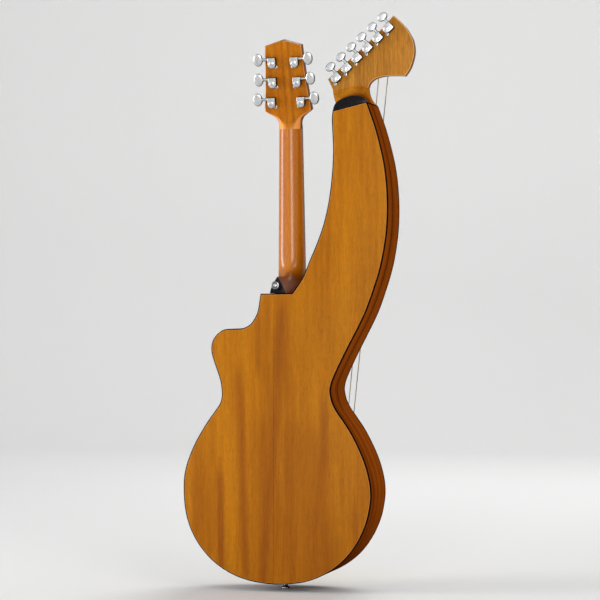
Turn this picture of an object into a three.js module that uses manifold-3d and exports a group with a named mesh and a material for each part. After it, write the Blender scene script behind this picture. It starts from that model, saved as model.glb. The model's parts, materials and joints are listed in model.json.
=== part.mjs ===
// A harp guitar: a guitar body whose bass side rises into a hollow arm that carries six sub-bass strings.
// Millimetres. Z runs up the neck, the strings face -Y, the back faces +Y, the treble side is +X and the
// arm is on the -X side. The origin is the centre of the tail strap button's outer end face.
import * as THREE from 'three';
import { mergeVertices } from 'three/addons/utils/BufferGeometryUtils.js';
import Module from 'manifold-3d';

// Body
const BUTTON_LENGTH = 12.5; // strap button, along its axis
const FELT_THICKNESS = 1.5; // washer under a strap button
const BODY_LENGTH = 531; // tail to shoulder, over the bindings
const BOUT_HALF = 177; // half of the lower bout, back plate only
const ARM_SWEEP = 206; // from the centreline to the arm's outermost edge, back plate only
const ARM_LENGTH = 347; // shoulder to the arm's end
const DEPTH_TAIL = 118;
const DEPTH_ARM_END = 86;
const PLATE_THICKNESS = 2.8;
const RIM_THICKNESS = 2.5;
const BINDING_WIDTH = 1.8;
const BINDING_DEPTH = 6;
const LINING_WIDTH = 5.5;
const LINING_DEPTH = 14;
const GLUE_GAP = 0.3;
const RUN_DIVISIONS = 2; // straight pieces between two points of an outline

// Neck, headstock and fretboard
const SCALE_LENGTH = 628;
const BODY_FRET_COUNT = 12; // frets clear of the body
const OCTAVE_FRET_COUNT = 12;
const FRET_COUNT = 19;
const NUT_WIDTH = 44;
const NECK_WIDTH_AT_BODY = 53;
const NECK_DEPTH_AT_NUT = 15.5;
const NECK_DEPTH_AT_BODY = 18;
const FRETBOARD_THICKNESS = 6;
const FRETBOARD_OVERHANG = 6; // past the last fret
const FRET_WIDTH = 2.4;
const FRET_CROWN = 1.2;
const FRET_HEIGHT = 1.1;
const NUT_THICKNESS = 4.6;
const NUT_HEIGHT = 8;
const NUT_CREST = 1; // the strings bear here, and the nut falls away towards the head
const NUT_FALL = 2.2;
const HEAD_ANGLE = 14.5; // degrees
const HEAD_DROP = 2.5; // from the neck's glue face to the head's face, just behind the nut
const HEAD_LENGTH = 160;
const HEAD_HALF = 45.6; // at its widest, just above the flare
const HEAD_THICKNESS = 15;
const HEAD_BLEND = 17.5; // how far the neck's round back runs up the head
const VENEER_THICKNESS = 1.5;
const NECK_STEPS = 10; // straight pieces round the back of the neck
const HEEL_CAP_HALF = 14.4;
const HEEL_CAP_HEIGHT = 31;
const HEEL_ROOT_HALF = 26;
const HEEL_ROOT_HEIGHT = 56;
const HEEL_CAP_THICKNESS = 2;
const HEEL_STEPS = 7;

// Arm head
const HARP_FACE_Y = -58;
const HARP_ROW_ANGLE = 41.5; // degrees, between the tuner row and the horizontal
const HARP_LENGTH_PAST_ROW = 91.54; // height of the head over that of its tuner row
const HARP_REACH_PAST_ROW = 36.02; // width of the head over that of its tuner row
const HARP_HEEL_ROOT = 46; // how far the heel's root reaches up the head
const HARP_HEEL_LENS = 19.5; // how far the heel reaches past the arm at the back
const HARP_CAP_THICKNESS = 2;
const HARP_HEEL_STEPS = 5;
const TENON_INSET = 14; // from the arm's corners, where the head's block starts to run into the arm
const TENON_REACH = 5;
const HARP_NUT_DISTANCE = 34; // below the tuner row
const HARP_NUT_THICKNESS = 5;
const HARP_NUT_HEIGHT = 10.5;
const HARP_NUT_OVERHANG = 7; // past the outer strings

// Bridge and strings
const BRIDGE_THICKNESS = 8.7;
const BRIDGE_TREBLE_REACH = 46;
const BRIDGE_BASS_REACH = 122;
const BRIDGE_HEIGHT_ABOVE_SADDLE = 10;
const BRIDGE_HEIGHT_BELOW_SADDLE = 30;
const SADDLE_THICKNESS = 3;
const SADDLE_HEIGHT = 3.2; // above the bridge
const SADDLE_SLOT = 4.5;
const SADDLE_CREST = 0.5; // half of the saddle's rounded top
const SADDLE_ROUND = 1.2;
const SADDLE_OVERHANG = 6;
const PIN_DISTANCE = 17; // from the saddle to the pins
const PIN_HEAD_RADIUS = 4.1;
const PIN_HEAD_HEIGHT = 4;
const STRING_HOLE_RADIUS = 1.6;
const STRING_SPACING_AT_BRIDGE = 10.8;
const STRING_SPACING_AT_NUT = 7.3;
const BASS_SPACING_AT_BRIDGE = 10.4;
const BASS_OFFSET_AT_BRIDGE = 52; // centreline to the first sub-bass string
const STRING_COUNT = 6; // on the neck, and again on the arm
const PLAIN_DIAMETER = 0.33;
const WOUND_DIAMETER = 1.37;
const BASS_FIRST_DIAMETER = 1.1;
const BASS_LAST_DIAMETER = 1.9;
const STRING_SIDES = 6;

// Tuning machines
const TUNER_SPACING = 37.3;
const TUNER_TOP = 116.8; // from the nut to the highest tuner pair
const TUNER_TOP_HALF = 21.7; // half of the distance between the two highest posts
const TUNER_WAIST = 1.5; // how far the middle pair sits inside a line through the others
const TUNER_SPREAD = 0.09; // sideways for each millimetre down the head
const HARP_TUNER_FIRST = 11.6; // from the lower corner along the head's edge
const HARP_TUNER_SPACING = 26.7;
const HARP_TUNER_INSET = 10.8;
const GEAR_CASE_RADIUS = 7.7;
const WORM_OFFSET = 8.5;
const WORM_CASE_RADIUS = 3.4;
const CASE_HEIGHT = 10.5;
const CASE_BEVEL = 1.2;
const COLLAR_RADIUS = 3.4;
const COLLAR_LENGTH = 2.2;
const BUTTON_SHAFT_RADIUS = 2.3;
const NECK_BUTTON_REACH = 26.5; // from the post's axis to the button's middle
const HARP_BUTTON_REACH = 22.8;
const NECK_BUTTON_HALF_LENGTH = 12;
const NECK_BUTTON_HALF_WIDTH = 8.8;
const HARP_BUTTON_HALF_LENGTH = 10.4;
const HARP_BUTTON_HALF_WIDTH = 7.7;
const BUTTON_THICKNESS = 7;
const BUTTON_BEVEL = 2.4;
const BUTTON_STEPS = 12;
const SHAFT_HEIGHT = 5.4; // above the head's back
const POST_RADIUS = 3;
const POST_WAIST = 2.5;
const POST_STAND = 13; // above the head's face
const POST_WAIST_AT = 8.5;
const POST_GROOVE = 2; // half of the length of the waist and its flares
const POST_HOLE_RADIUS = 4.8;
const POST_SEAT = 3; // how deep the post reaches into the gear case
const SHAFT_SEAT = 5; // how deep the button's shaft reaches into its collar
const BUSH_RADIUS = 4.3;
const NUT_RADIUS = 6.6; // the nut that clamps a machine from the front
const BUSH_NUT_THICKNESS = 2.4;
const RUNNING_CLEARANCE = 0.4;
const SCREW_RADIUS = 1.7;
const SCREW_HEIGHT = 1;
const EAR_RADIUS = 2.8;
const EAR_THICKNESS = 1.6;
const EAR_DROP = 7.2; // below the post's axis
const EAR_OUT = 6.4; // inwards from the post's axis
const HOLE_STEPS = 10;
const TUNER_STEPS = 8;
const SOUNDHOLE_STEPS = 40;

// Inside the box
const SOUNDHOLE_RADIUS = 50;
const SOUNDHOLE_FROM_FRETBOARD = 4; // bare wood between the fretboard and the hole
const NECK_BLOCK_LENGTH = 55;
const NECK_BLOCK_HALF = 24;
const TAIL_BLOCK_LENGTH = 22;
const TAIL_BLOCK_HALF = 45;
const ARM_BLOCK_LENGTH = 34;
const BRACE_WIDTH = 7;
const BRACE_HEIGHT = 12.5;
const BACK_BRACE_WIDTH = 8;
const BACK_BRACE_HEIGHT = 15;
const BRIDGE_PLATE_MARGIN = 4;
const BRIDGE_PLATE_THICKNESS = 2.5;

// Strap buttons
const STRAP_FLANGE_RADIUS = 7.8;
const STRAP_WAIST_RADIUS = 4;
const STRAP_BASE_RADIUS = 5.6;
const STRAP_STEPS = 16;
const HEEL_STRAP_HEIGHT = 14.5; // above the shoulder

const OVERRUN = 5; // how far a cutting tool reaches past what it cuts
const TOOL_REACH = 300; // half of a large cutting box
const WELD = 1e-4; // vertices closer than this are one

// Points along the outline, as shares: X of the bout's half or arm's sweep, Z of the body's or arm's length
const trebleShares = [
  [0.172, 1], [0.182, 0.979], [0.207, 0.936], [0.28, 0.896], [0.377, 0.88], [0.488, 0.8785],
  [0.572, 0.876], [0.641, 0.862], [0.69, 0.84], [0.706, 0.815], [0.696, 0.789], [0.655, 0.749],
  [0.613, 0.709], [0.591, 0.668], [0.607, 0.622], [0.736, 0.561], [0.888, 0.477], [0.984, 0.3925],
  [1.005, 0.325], [0.984, 0.245], [0.915, 0.174], [0.785, 0.108], [0.6, 0.054], [0.34, 0.0146], [0, 0],
];
const bassShares = [
  [0.34, 0.0146], [0.61, 0.059], [0.79, 0.117], [0.916, 0.19], [0.978, 0.262], [0.988, 0.335],
  [0.92, 0.425], [0.776, 0.5235], [0.62, 0.6], [0.567, 0.646], [0.571, 0.69], [0.677, 0.77],
  [0.806, 0.853], [0.93, 0.935],
];
const armOuterShares = [
  [0.89, 0.047], [0.95, 0.172], [0.994, 0.338], [1, 0.505], [0.972, 0.673], [0.904, 0.842],
  [0.858, 0.926], [0.813, 1],
];
const armInnerShares = [
  [0.516, 0.96], [0.51, 0.918], [0.515, 0.848], [0.522, 0.764], [0.517, 0.68], [0.506, 0.596],
  [0.488, 0.512], [0.461, 0.428], [0.422, 0.344], [0.37, 0.261], [0.308, 0.177], [0.237, 0.08], [0.14, 0],
];

// The head of the neck: half of its outline, X of its half width and Z of its length
const headShares = [
  [0, 1], [0.769, 0.936], [0.81, 0.75], [0.85, 0.56], [0.905, 0.39], [1, 0.171], [0.93, 0.153], [0.86, 0.139],
  [0.745, 0.117], [0.6, 0.084], [0.52, 0.044], [0.482, 0],
];

// The arm's head, X of its reach and Z of its length: up its inner side to the tuner edge, and then from that
// edge's top end round the lobe towards the outer corner
const harpInnerShares = [[-0.09, 0.129], [-0.132, 0.22], [-0.173, 0.302], [-0.217, 0.37]];
const harpLobeShares = [
  [0.656, 0.954], [0.71, 1], [0.778, 0.955], [0.84, 0.905], [0.895, 0.858], [0.9375, 0.804],
  [0.972, 0.755], [0.99, 0.708], [1, 0.66], [1, 0.614], [0.975, 0.522], [0.922, 0.429], [0.868, 0.375],
  [0.74, 0.381], [0.612, 0.382], [0.506, 0.37], [0.43, 0.348], [0.376, 0.311], [0.35, 0.264],
  [0.363, 0.2], [0.406, 0.129],
];

// The arm head's heel: along the arm's end, and up it, at the head and at the back
const heelRootShares = [
  [0, 0], [-0.055, 0.26], [-0.11, 0.56], [-0.12, 0.92], [0.3, 1], [0.7, 0.96], [0.9, 0.75], [0.9, 0.48],
  [0.94, 0.2], [1, 0],
];
const heelLensShares = [
  [0, 0], [0.05, 0.36], [0.145, 0.73], [0.3, 0.92], [0.48, 1], [0.66, 0.975], [0.83, 0.77], [0.94, 0.49],
  [1, 0.23], [1, 0],
];

const ogiveShares = [0, 0.2, 0.4, 0.6, 0.8]; // heights where the neck heel's outline has a point
const OGIVE_POWER = 1.5;
const HEEL_START_SHARE = 0.06; // of the neck's depth, where the heel starts inside it
const NECK_TIP_SHARE = 0.9; // of the neck's width, where its round back ends inside the head

// Brace ends on the soundboard, X of the bout's half and Z of the body's length
const topBraceShares = [
  [[-0.61, 0.69], [1.05, 0.25]],
  [[0.61, 0.69], [-1.05, 0.25]],
  [[-0.5, 0.396], [0.95, 0.05]],
  [[-0.68, 0.348], [0.7, 0.01]],
];
// Heights of straight braces in the body, and then of those in the arm, as shares of each one's length
const topLadderShares = [[0.885], [0.182, 0.456, 0.73]];
const backLadderShares = [[0.2, 0.42, 0.62, 0.83], [0.182, 0.486, 0.76]];

const strapShares = [0.3, 0.5, 0.8]; // along a strap button: its waist's two ends and its flange

// Places worked out from the sizes above
const BODY_TAIL = BUTTON_LENGTH + FELT_THICKNESS;
const SHOULDER = BODY_TAIL + BODY_LENGTH;
const PLATE_TAIL = BODY_TAIL + BINDING_WIDTH;
const PLATE_SHOULDER = SHOULDER - BINDING_WIDTH;
const PLATE_LENGTH = PLATE_SHOULDER - PLATE_TAIL;
const ARM_END = PLATE_SHOULDER + ARM_LENGTH;
const FRONT = -DEPTH_TAIL / 2;
const BACK_TAPER = (DEPTH_TAIL - DEPTH_ARM_END) / (ARM_END - BODY_TAIL);
const NUT = SHOULDER + fretDistance(BODY_FRET_COUNT);
const BRIDGE = NUT - SCALE_LENGTH;
const FRETBOARD_BACK = FRONT - GLUE_GAP;
const FRETBOARD_FACE = FRETBOARD_BACK - FRETBOARD_THICKNESS;
const FRETBOARD_END = NUT - fretDistance(FRET_COUNT) - FRETBOARD_OVERHANG;
const SOUNDHOLE = FRETBOARD_END - SOUNDHOLE_FROM_FRETBOARD - SOUNDHOLE_RADIUS;
const BRIDGE_FACE = FRONT - GLUE_GAP - BRIDGE_THICKNESS;
const SADDLE_TOP = BRIDGE_FACE - SADDLE_HEIGHT;
const NUT_TOP = FRONT - NUT_HEIGHT;
const HARP_ROW = (STRING_COUNT - 1) * HARP_TUNER_SPACING;
const HARP_ROW_TURN = THREE.MathUtils.degToRad(HARP_ROW_ANGLE);
const HARP_HEAD_LENGTH = HARP_ROW * Math.sin(HARP_ROW_TURN) + HARP_LENGTH_PAST_ROW; // inner corner to tip
const HARP_HEAD_REACH = HARP_ROW * Math.cos(HARP_ROW_TURN) + HARP_REACH_PAST_ROW; // inner corner to lobe
const HARP_BACK_Y = HARP_FACE_Y + HEAD_THICKNESS;
const HARP_NUT_TOP = HARP_FACE_Y - HARP_NUT_HEIGHT;

function fretDistance(fret) {
  return SCALE_LENGTH * (1 - 2 ** (-fret / OCTAVE_FRET_COUNT));
}

const front = () => FRONT;
const back = (z) => FRONT + DEPTH_TAIL - BACK_TAPER * (z - BODY_TAIL);
const shifted = (face, distance) => (z) => face(z) + distance;
const mix = THREE.MathUtils.lerp;

// Solids

function solidOf(geometry) {
  const bare = new THREE.BufferGeometry();
  bare.setAttribute('position', geometry.getAttribute('position'));
  if (geometry.index) bare.setIndex(geometry.index);
  const merged = mergeVertices(bare, WELD);
  return new wasm.Manifold(new wasm.Mesh({
    numProp: 3,
    vertProperties: merged.getAttribute('position').array,
    triVerts: new Uint32Array(merged.index.array),
  }));
}

function geometryOf(solid) {
  const mesh = solid.getMesh();
  const geometry = new THREE.BufferGeometry();
  geometry.setAttribute('position', new THREE.BufferAttribute(mesh.vertProperties, 3));
  geometry.setIndex(new THREE.BufferAttribute(mesh.triVerts, 1));
  return geometry;
}

function joined(...geometries) {
  return geometryOf(geometries.map(solidOf).reduce((whole, piece) => whole.add(piece)));
}

function cut(geometry, ...tools) {
  return geometryOf(tools.map(solidOf).reduce((whole, tool) => whole.subtract(tool), solidOf(geometry)));
}

function common(geometry, other) {
  return geometryOf(solidOf(geometry).intersect(solidOf(other)));
}

function box(lowX, highX, lowY, highY, lowZ, highZ) {
  const geometry = new THREE.BoxGeometry(highX - lowX, highY - lowY, highZ - lowZ);
  return geometry.translate((lowX + highX) / 2, (lowY + highY) / 2, (lowZ + highZ) / 2);
}

function shapeOf(points, holes = []) {
  const shape = new THREE.Shape(points);
  for (const hole of holes) shape.holes.push(new THREE.Path(hole));
  return shape;
}

function circlePoints(x, z, radius, steps) {
  return Array.from({ length: steps }, (_, i) => {
    const angle = (2 * Math.PI * i) / steps;
    return new THREE.Vector2(x + radius * Math.cos(angle), z + radius * Math.sin(angle));
  });
}

// A piece with an outline in X and Z. Its two faces are functions that give Y for a height Z.
function slab(points, frontFace, backFace, holes) {
  const geometry = new THREE.ExtrudeGeometry(shapeOf(points, holes), { depth: 1, bevelEnabled: false });
  const position = geometry.getAttribute('position');
  for (let i = 0; i < position.count; i += 1) {
    const z = position.getY(i);
    position.setXYZ(i, position.getX(i), mix(backFace(z), frontFace(z), position.getZ(i)), z);
  }
  return geometry;
}

// A closed skin over rings of points, each ring with as many points as the last
function loft(rings) {
  const count = rings[0].length;
  const positions = rings.flat().flatMap((point) => point.toArray());
  const indices = [];
  for (let ring = 0; ring < rings.length - 1; ring += 1) {
    for (let i = 0; i < count; i += 1) {
      const a = ring * count + i;
      const b = ring * count + ((i + 1) % count);
      indices.push(a, b, a + count, b, b + count, a + count);
    }
  }
  const last = (rings.length - 1) * count;
  for (const [start, turn] of [[0, 1], [last, -1]]) {
    const middle = positions.length / 3;
    const ring = rings[start / count];
    const sum = ring.reduce((total, point) => total.add(point), new THREE.Vector3());
    positions.push(...sum.divideScalar(count).toArray());
    for (let i = 0; i < count; i += 1) {
      const next = start + ((i + 1) % count);
      indices.push(...(turn > 0 ? [middle, next, start + i] : [middle, start + i, next]));
    }
  }
  const geometry = new THREE.BufferGeometry();
  geometry.setAttribute('position', new THREE.Float32BufferAttribute(positions, 3));
  geometry.setIndex(indices);
  return geometry;
}

// A round bar through a few points, with a mitre at each bend
function rod(points, radius, sides) {
  const rings = points.map((point, i) => {
    const before = i > 0 ? point.clone().sub(points[i - 1]).normalize() : null;
    const after = i < points.length - 1 ? points[i + 1].clone().sub(point).normalize() : null;
    const along = before && after ? before.add(after).normalize() : before ?? after;
    const up = new THREE.Vector3().crossVectors(along, new THREE.Vector3(1, 0, 0)).normalize();
    const across = new THREE.Vector3().crossVectors(up, along);
    return Array.from({ length: sides }, (_, k) => {
      const angle = (2 * Math.PI * k) / sides;
      return point.clone()
        .addScaledVector(across, radius * Math.cos(angle))
        .addScaledVector(up, radius * Math.sin(angle));
    });
  });
  return loft(rings);
}

// A straight bar along X. The profile is a list of [Y, Z].
function bar(lowX, highX, profile) {
  return loft([lowX, highX].map((x) => profile.map(([y, z]) => new THREE.Vector3(x, y, z))));
}

// A turned piece whose axis is Y. The profile is a list of [radius, height along -Y].
function turned(profile, steps) {
  const geometry = new THREE.LatheGeometry(profile.map(([r, h]) => new THREE.Vector2(r, h)), steps);
  return geometry.rotateX(Math.PI);
}

// Outlines

function bodyPoint([x, z], side) {
  return new THREE.Vector2(side * x * BOUT_HALF, PLATE_TAIL + z * PLATE_LENGTH);
}

function armPoint([x, z]) {
  return new THREE.Vector2(-x * ARM_SWEEP, PLATE_SHOULDER + z * ARM_LENGTH);
}

function smoothRun(points) {
  return new THREE.SplineCurve(points).getPoints((points.length - 1) * RUN_DIVISIONS);
}

const outerRun = [
  ...trebleShares.map((share) => bodyPoint(share, 1)),
  ...bassShares.map((share) => bodyPoint(share, -1)),
  ...armOuterShares.map(armPoint),
];
const innerRun = armInnerShares.map(armPoint);
const outerPoints = smoothRun(outerRun);
const innerPoints = smoothRun(innerRun);
const TAIL_INDEX = (trebleShares.length - 1) * RUN_DIVISIONS;
const END_INDEX = outerPoints.length - 1; // the arm's outer corner, with its inner corner next
const plateOutline = [...outerPoints, ...innerPoints];
const outlineCount = plateOutline.length;

// The outline moved outwards by a distance, except along the arm's end
function offsetOutline(distance) {
  return plateOutline.map((point, i) => {
    const before = plateOutline[(i + outlineCount - 1) % outlineCount];
    const after = plateOutline[(i + 1) % outlineCount];
    const arrive = point.clone().sub(before).normalize();
    const leave = after.clone().sub(point).normalize();
    const arriveOut = new THREE.Vector2(-arrive.y, arrive.x);
    const leaveOut = new THREE.Vector2(-leave.y, leave.x);
    if (i === END_INDEX) return point.clone().addScaledVector(leave, distance / leave.dot(arriveOut));
    if (i === END_INDEX + 1) return point.clone().addScaledVector(arrive, distance / arrive.dot(leaveOut));
    const mitre = arriveOut.clone().add(leaveOut).normalize();
    return point.clone().addScaledVector(mitre, distance / mitre.dot(arriveOut));
  });
}

// A strip between two offsets of the outline, from one of its points to another
function strip(outside, inside, from, to) {
  const outer = offsetOutline(outside);
  const inner = offsetOutline(inside);
  const indices = Array.from({ length: to - from + 1 }, (_, i) => (from + i) % outlineCount);
  return [...indices.map((i) => outer[i]), ...indices.reverse().map((i) => inner[i])];
}

const armCorner = plateOutline[END_INDEX + 1];
const armOuterCorner = plateOutline[END_INDEX];
const endAlong = armOuterCorner.clone().sub(armCorner).normalize();
const endUp = new THREE.Vector2(endAlong.y, -endAlong.x);
const rimOutside = BINDING_WIDTH;
const rimInside = BINDING_WIDTH - RIM_THICKNESS;
const liningOutside = rimInside - GLUE_GAP;
const liningInside = liningOutside - LINING_WIDTH;
const topInner = shifted(front, PLATE_THICKNESS + GLUE_GAP);
const backInner = shifted(back, -PLATE_THICKNESS - GLUE_GAP);

const wasm = await Module();
wasm.setup();

// Materials

const material = (color, roughness, metalness = 0) => (
  new THREE.MeshStandardMaterial({ color, roughness, metalness })
);
const mahogany = material(0xb8741f, 0.35);
const redMahogany = material(0x8a3c17, 0.3);
const spruce = material(0xe0bd80, 0.4);
const innerWood = material(0xc39a63, 0.7);
const blackBinding = material(0x100e0d, 0.3);
const ebony = material(0x16110f, 0.45);
const rosewood = material(0x3a2217, 0.5);
const bone = material(0xe9e2cf, 0.4);
const chrome = material(0xd9dbde, 0.12, 1);
const bronze = material(0xb08a55, 0.35, 1);

const group = new THREE.Group();

function add(name, geometry, look, parent = group) {
  const mesh = new THREE.Mesh(geometry, look);
  mesh.name = name;
  parent.add(mesh);
  return mesh;
}

// The box: plates, rims, linings, bindings and blocks

function stringsAtBridge() {
  const neck = Array.from({ length: STRING_COUNT }, (_, i) => (
    ((STRING_COUNT - 1) / 2 - i) * STRING_SPACING_AT_BRIDGE
  ));
  const bass = Array.from({ length: STRING_COUNT }, (_, i) => (
    -BASS_OFFSET_AT_BRIDGE - i * BASS_SPACING_AT_BRIDGE
  ));
  return { neck, bass };
}

const atBridge = stringsAtBridge();
const PINS = BRIDGE - PIN_DISTANCE;
const STRING_HOLES = PINS + PIN_HEAD_RADIUS + STRING_HOLE_RADIUS; // just ahead of the pins
const pinPlaces = [...atBridge.neck, ...atBridge.bass];
const stringHoles = pinPlaces.map((x) => circlePoints(x, STRING_HOLES, STRING_HOLE_RADIUS, STRING_SIDES));

function addPlates() {
  const soundhole = circlePoints(0, SOUNDHOLE, SOUNDHOLE_RADIUS, SOUNDHOLE_STEPS);
  const top = slab(offsetOutline(0), front, shifted(front, PLATE_THICKNESS), [soundhole, ...stringHoles]);
  add('soundboard', top, spruce);
  add('back_plate', slab(offsetOutline(0), shifted(back, -PLATE_THICKNESS), back), mahogany);
  const around = strip(rimOutside, GLUE_GAP, END_INDEX + 1, END_INDEX + outlineCount);
  add('top_binding', slab(around, front, shifted(front, BINDING_DEPTH)), blackBinding);
  add('back_binding', slab(around, shifted(back, -BINDING_DEPTH), back), blackBinding);
}

function addRims() {
  const rimFront = shifted(front, BINDING_DEPTH + GLUE_GAP);
  const rimBack = shifted(back, -BINDING_DEPTH - GLUE_GAP);
  const runs = [
    ['rim_treble', 0, TAIL_INDEX],
    ['rim_bass', TAIL_INDEX, END_INDEX],
    ['rim_arm_inner', END_INDEX + 1, outlineCount],
  ];
  for (const [name, from, to] of runs) {
    add(name, slab(strip(rimOutside, rimInside, from, to), rimFront, rimBack), redMahogany);
  }
}

// What a shape has in common with the space inside an offset of the outline and between the plates
function filled(inset, shape, past = 0) {
  return common(slab(offsetOutline(inset), shifted(topInner, -past), shifted(backInner, past)), shape);
}

function blockLimits(grow) {
  const low = FRONT - OVERRUN;
  const high = FRONT + DEPTH_TAIL + OVERRUN;
  const neckLow = SHOULDER - NECK_BLOCK_LENGTH - grow;
  const tailHigh = BODY_TAIL + TAIL_BLOCK_LENGTH + grow;
  const arm = new THREE.BoxGeometry(TOOL_REACH, TOOL_REACH, ARM_BLOCK_LENGTH + grow + OVERRUN);
  const middle = armCorner.clone().add(armOuterCorner).divideScalar(2)
    .addScaledVector(endUp, (OVERRUN - ARM_BLOCK_LENGTH - grow) / 2);
  arm.rotateY(-Math.atan2(-endAlong.y, -endAlong.x));
  arm.translate(middle.x, 0, middle.y);
  return {
    neck: box(-NECK_BLOCK_HALF - grow, NECK_BLOCK_HALF + grow, low, high, neckLow, SHOULDER + OVERRUN),
    tail: box(-TAIL_BLOCK_HALF - grow, TAIL_BLOCK_HALF + grow, low, high, 0, tailHigh),
    arm,
  };
}

function addBlocks() {
  const blocks = blockLimits(0);
  add('neck_block', filled(liningOutside, blocks.neck), innerWood);
  add('tail_block', filled(liningOutside, blocks.tail), innerWood);
}

// The lining that runs round the inside of the rims, broken where a block stands
function lining(frontFace, backFace) {
  const ring = strip(liningOutside, liningInside, END_INDEX + 1, END_INDEX + outlineCount);
  return cut(slab(ring, frontFace, backFace), ...Object.values(blockLimits(GLUE_GAP)));
}

// A brace between two points on a plate's inside
function brace(from, to, width, frontFace, backFace) {
  const along = to.clone().sub(from).normalize();
  const side = new THREE.Vector2(-along.y, along.x).multiplyScalar(width / 2);
  const corners = [
    from.clone().add(side), from.clone().sub(side), to.clone().sub(side), to.clone().add(side),
  ];
  return slab(corners, frontFace, backFace);
}

// A straight brace across the box at each height
function ladder([inBody, inArm], width, frontFace, backFace) {
  const heights = [
    ...inBody.map((share) => PLATE_TAIL + share * PLATE_LENGTH),
    ...inArm.map((share) => PLATE_SHOULDER + share * ARM_LENGTH),
  ];
  return heights.map((z) => {
    const ends = [-TOOL_REACH, TOOL_REACH].map((x) => new THREE.Vector2(x, z));
    return brace(...ends, width, frontFace, backFace);
  });
}

// The braces are let into the lining, so that they make one frame, which is then planed to the plates
function planed(ring, braces) {
  const middle = (liningOutside + liningInside) / 2;
  const letIn = braces.map((piece) => filled(middle, piece, OVERRUN));
  return filled(rimOutside, joined(ring, ...letIn));
}

function addBracing() {
  const past = 2 * OVERRUN;
  const topFaces = [shifted(topInner, -past), shifted(topInner, BRACE_HEIGHT)];
  const slanted = topBraceShares.map(([from, to]) => (
    brace(bodyPoint(from, 1), bodyPoint(to, 1), BRACE_WIDTH, ...topFaces)
  ));
  const topBraces = [...slanted, ...ladder(topLadderShares, BRACE_WIDTH, ...topFaces)];
  const topLining = lining(shifted(topInner, -past), shifted(topInner, LINING_DEPTH));
  const notch = BRIDGE_PLATE_THICKNESS + GLUE_GAP;
  const plateSpace = slab(bridgePlatePoints(GLUE_GAP), shifted(topInner, -past), shifted(topInner, notch));
  add('top_bracing', cut(planed(topLining, topBraces), plateSpace), spruce);
  const backFaces = [shifted(backInner, -BACK_BRACE_HEIGHT), shifted(backInner, past)];
  const backBraces = ladder(backLadderShares, BACK_BRACE_WIDTH, ...backFaces);
  const backLining = lining(shifted(backInner, -LINING_DEPTH), shifted(backInner, past));
  add('back_bracing', planed(backLining, backBraces), spruce);
}

// The neck

function neckShare(z) {
  return (NUT - z) / (NUT - SHOULDER);
}

function neckWidth(z) {
  return mix(NUT_WIDTH, NECK_WIDTH_AT_BODY, neckShare(z));
}

function neckDepth(z) {
  return mix(NECK_DEPTH_AT_NUT, NECK_DEPTH_AT_BODY, neckShare(z));
}

// One ring round the neck: the flat glue face and the rounded back
function neckRing(z, widthScale, faceBack) {
  return Array.from({ length: NECK_STEPS + 1 }, (_, i) => {
    const angle = (Math.PI * i) / NECK_STEPS;
    const x = (Math.cos(angle) * neckWidth(z) * widthScale) / 2;
    return new THREE.Vector3(x, FRONT + faceBack + Math.sin(angle) * (neckDepth(z) - faceBack), z);
  });
}

function heelOutline(half, height) {
  const right = ogiveShares.map((share) => (
    new THREE.Vector2(half * (1 - share ** OGIVE_POWER), SHOULDER + GLUE_GAP + share * height)
  ));
  const left = right.map((point) => new THREE.Vector2(-point.x, point.y)).reverse();
  return [...right, new THREE.Vector2(0, SHOULDER + GLUE_GAP + height), ...left];
}

// The heel: pointed arches that shrink from the neck's back to the heel cap
function heel() {
  const start = FRONT + NECK_DEPTH_AT_BODY * HEEL_START_SHARE;
  const rings = Array.from({ length: HEEL_STEPS + 1 }, (_, i) => {
    const share = i / HEEL_STEPS;
    const half = mix(HEEL_CAP_HALF, HEEL_ROOT_HALF, (1 - share) ** 2);
    const height = mix(HEEL_CAP_HEIGHT, HEEL_ROOT_HEIGHT, (1 - share) ** 3);
    return heelOutline(half, height).map((point) => (
      new THREE.Vector3(point.x, mix(start, back(point.y) - HEEL_CAP_THICKNESS - GLUE_GAP, share), point.y)
    ));
  });
  return loft(rings.reverse());
}

function headPoints(scale) {
  const right = headShares.map(([x, z]) => new THREE.Vector2(x * HEAD_HALF * scale, z * HEAD_LENGTH));
  const left = right.slice(1).map((point) => new THREE.Vector2(-point.x, point.y)).reverse();
  return [...right, ...left];
}

const headGroup = new THREE.Group();
headGroup.position.set(0, FRONT - HEAD_DROP, NUT + NUT_THICKNESS);
headGroup.rotation.x = -THREE.MathUtils.degToRad(HEAD_ANGLE);
headGroup.updateWorldMatrix(true, false);
group.add(headGroup);

const neckTunerPlaces = [1, -1].flatMap((side) => [0, 1, 2].map((row) => {
  const down = row * TUNER_SPACING;
  const waist = row === 1 ? TUNER_WAIST : 0;
  return { side, x: side * (TUNER_TOP_HALF + down * TUNER_SPREAD - waist), z: TUNER_TOP - down };
}));

function postHoles(places) {
  return places.map(({ x, z }) => circlePoints(x, z, POST_HOLE_RADIUS, HOLE_STEPS));
}

function addNeck() {
  const top = NUT + NUT_THICKNESS;
  const rings = [
    neckRing(SHOULDER + GLUE_GAP, 1, 0),
    neckRing(NUT, 1, 0),
    neckRing(top, 1, 0),
    neckRing(top + HEAD_BLEND, NECK_TIP_SHARE, HEAD_DROP + VENEER_THICKNESS),
  ];
  const holes = postHoles(neckTunerPlaces);
  const wood = slab(headPoints(1), () => VENEER_THICKNESS + GLUE_GAP, () => HEAD_THICKNESS, holes);
  wood.applyMatrix4(headGroup.matrixWorld);
  add('neck', joined(loft(rings), heel(), wood), redMahogany);
  add('head_veneer', slab(headPoints(1), () => 0, () => VENEER_THICKNESS, holes), rosewood, headGroup);
  const cap = slab(
    heelOutline(HEEL_CAP_HALF, HEEL_CAP_HEIGHT), shifted(back, -HEEL_CAP_THICKNESS), back,
  );
  add('heel_cap', cap, ebony);
}

// Fretboard, frets and nut

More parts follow.
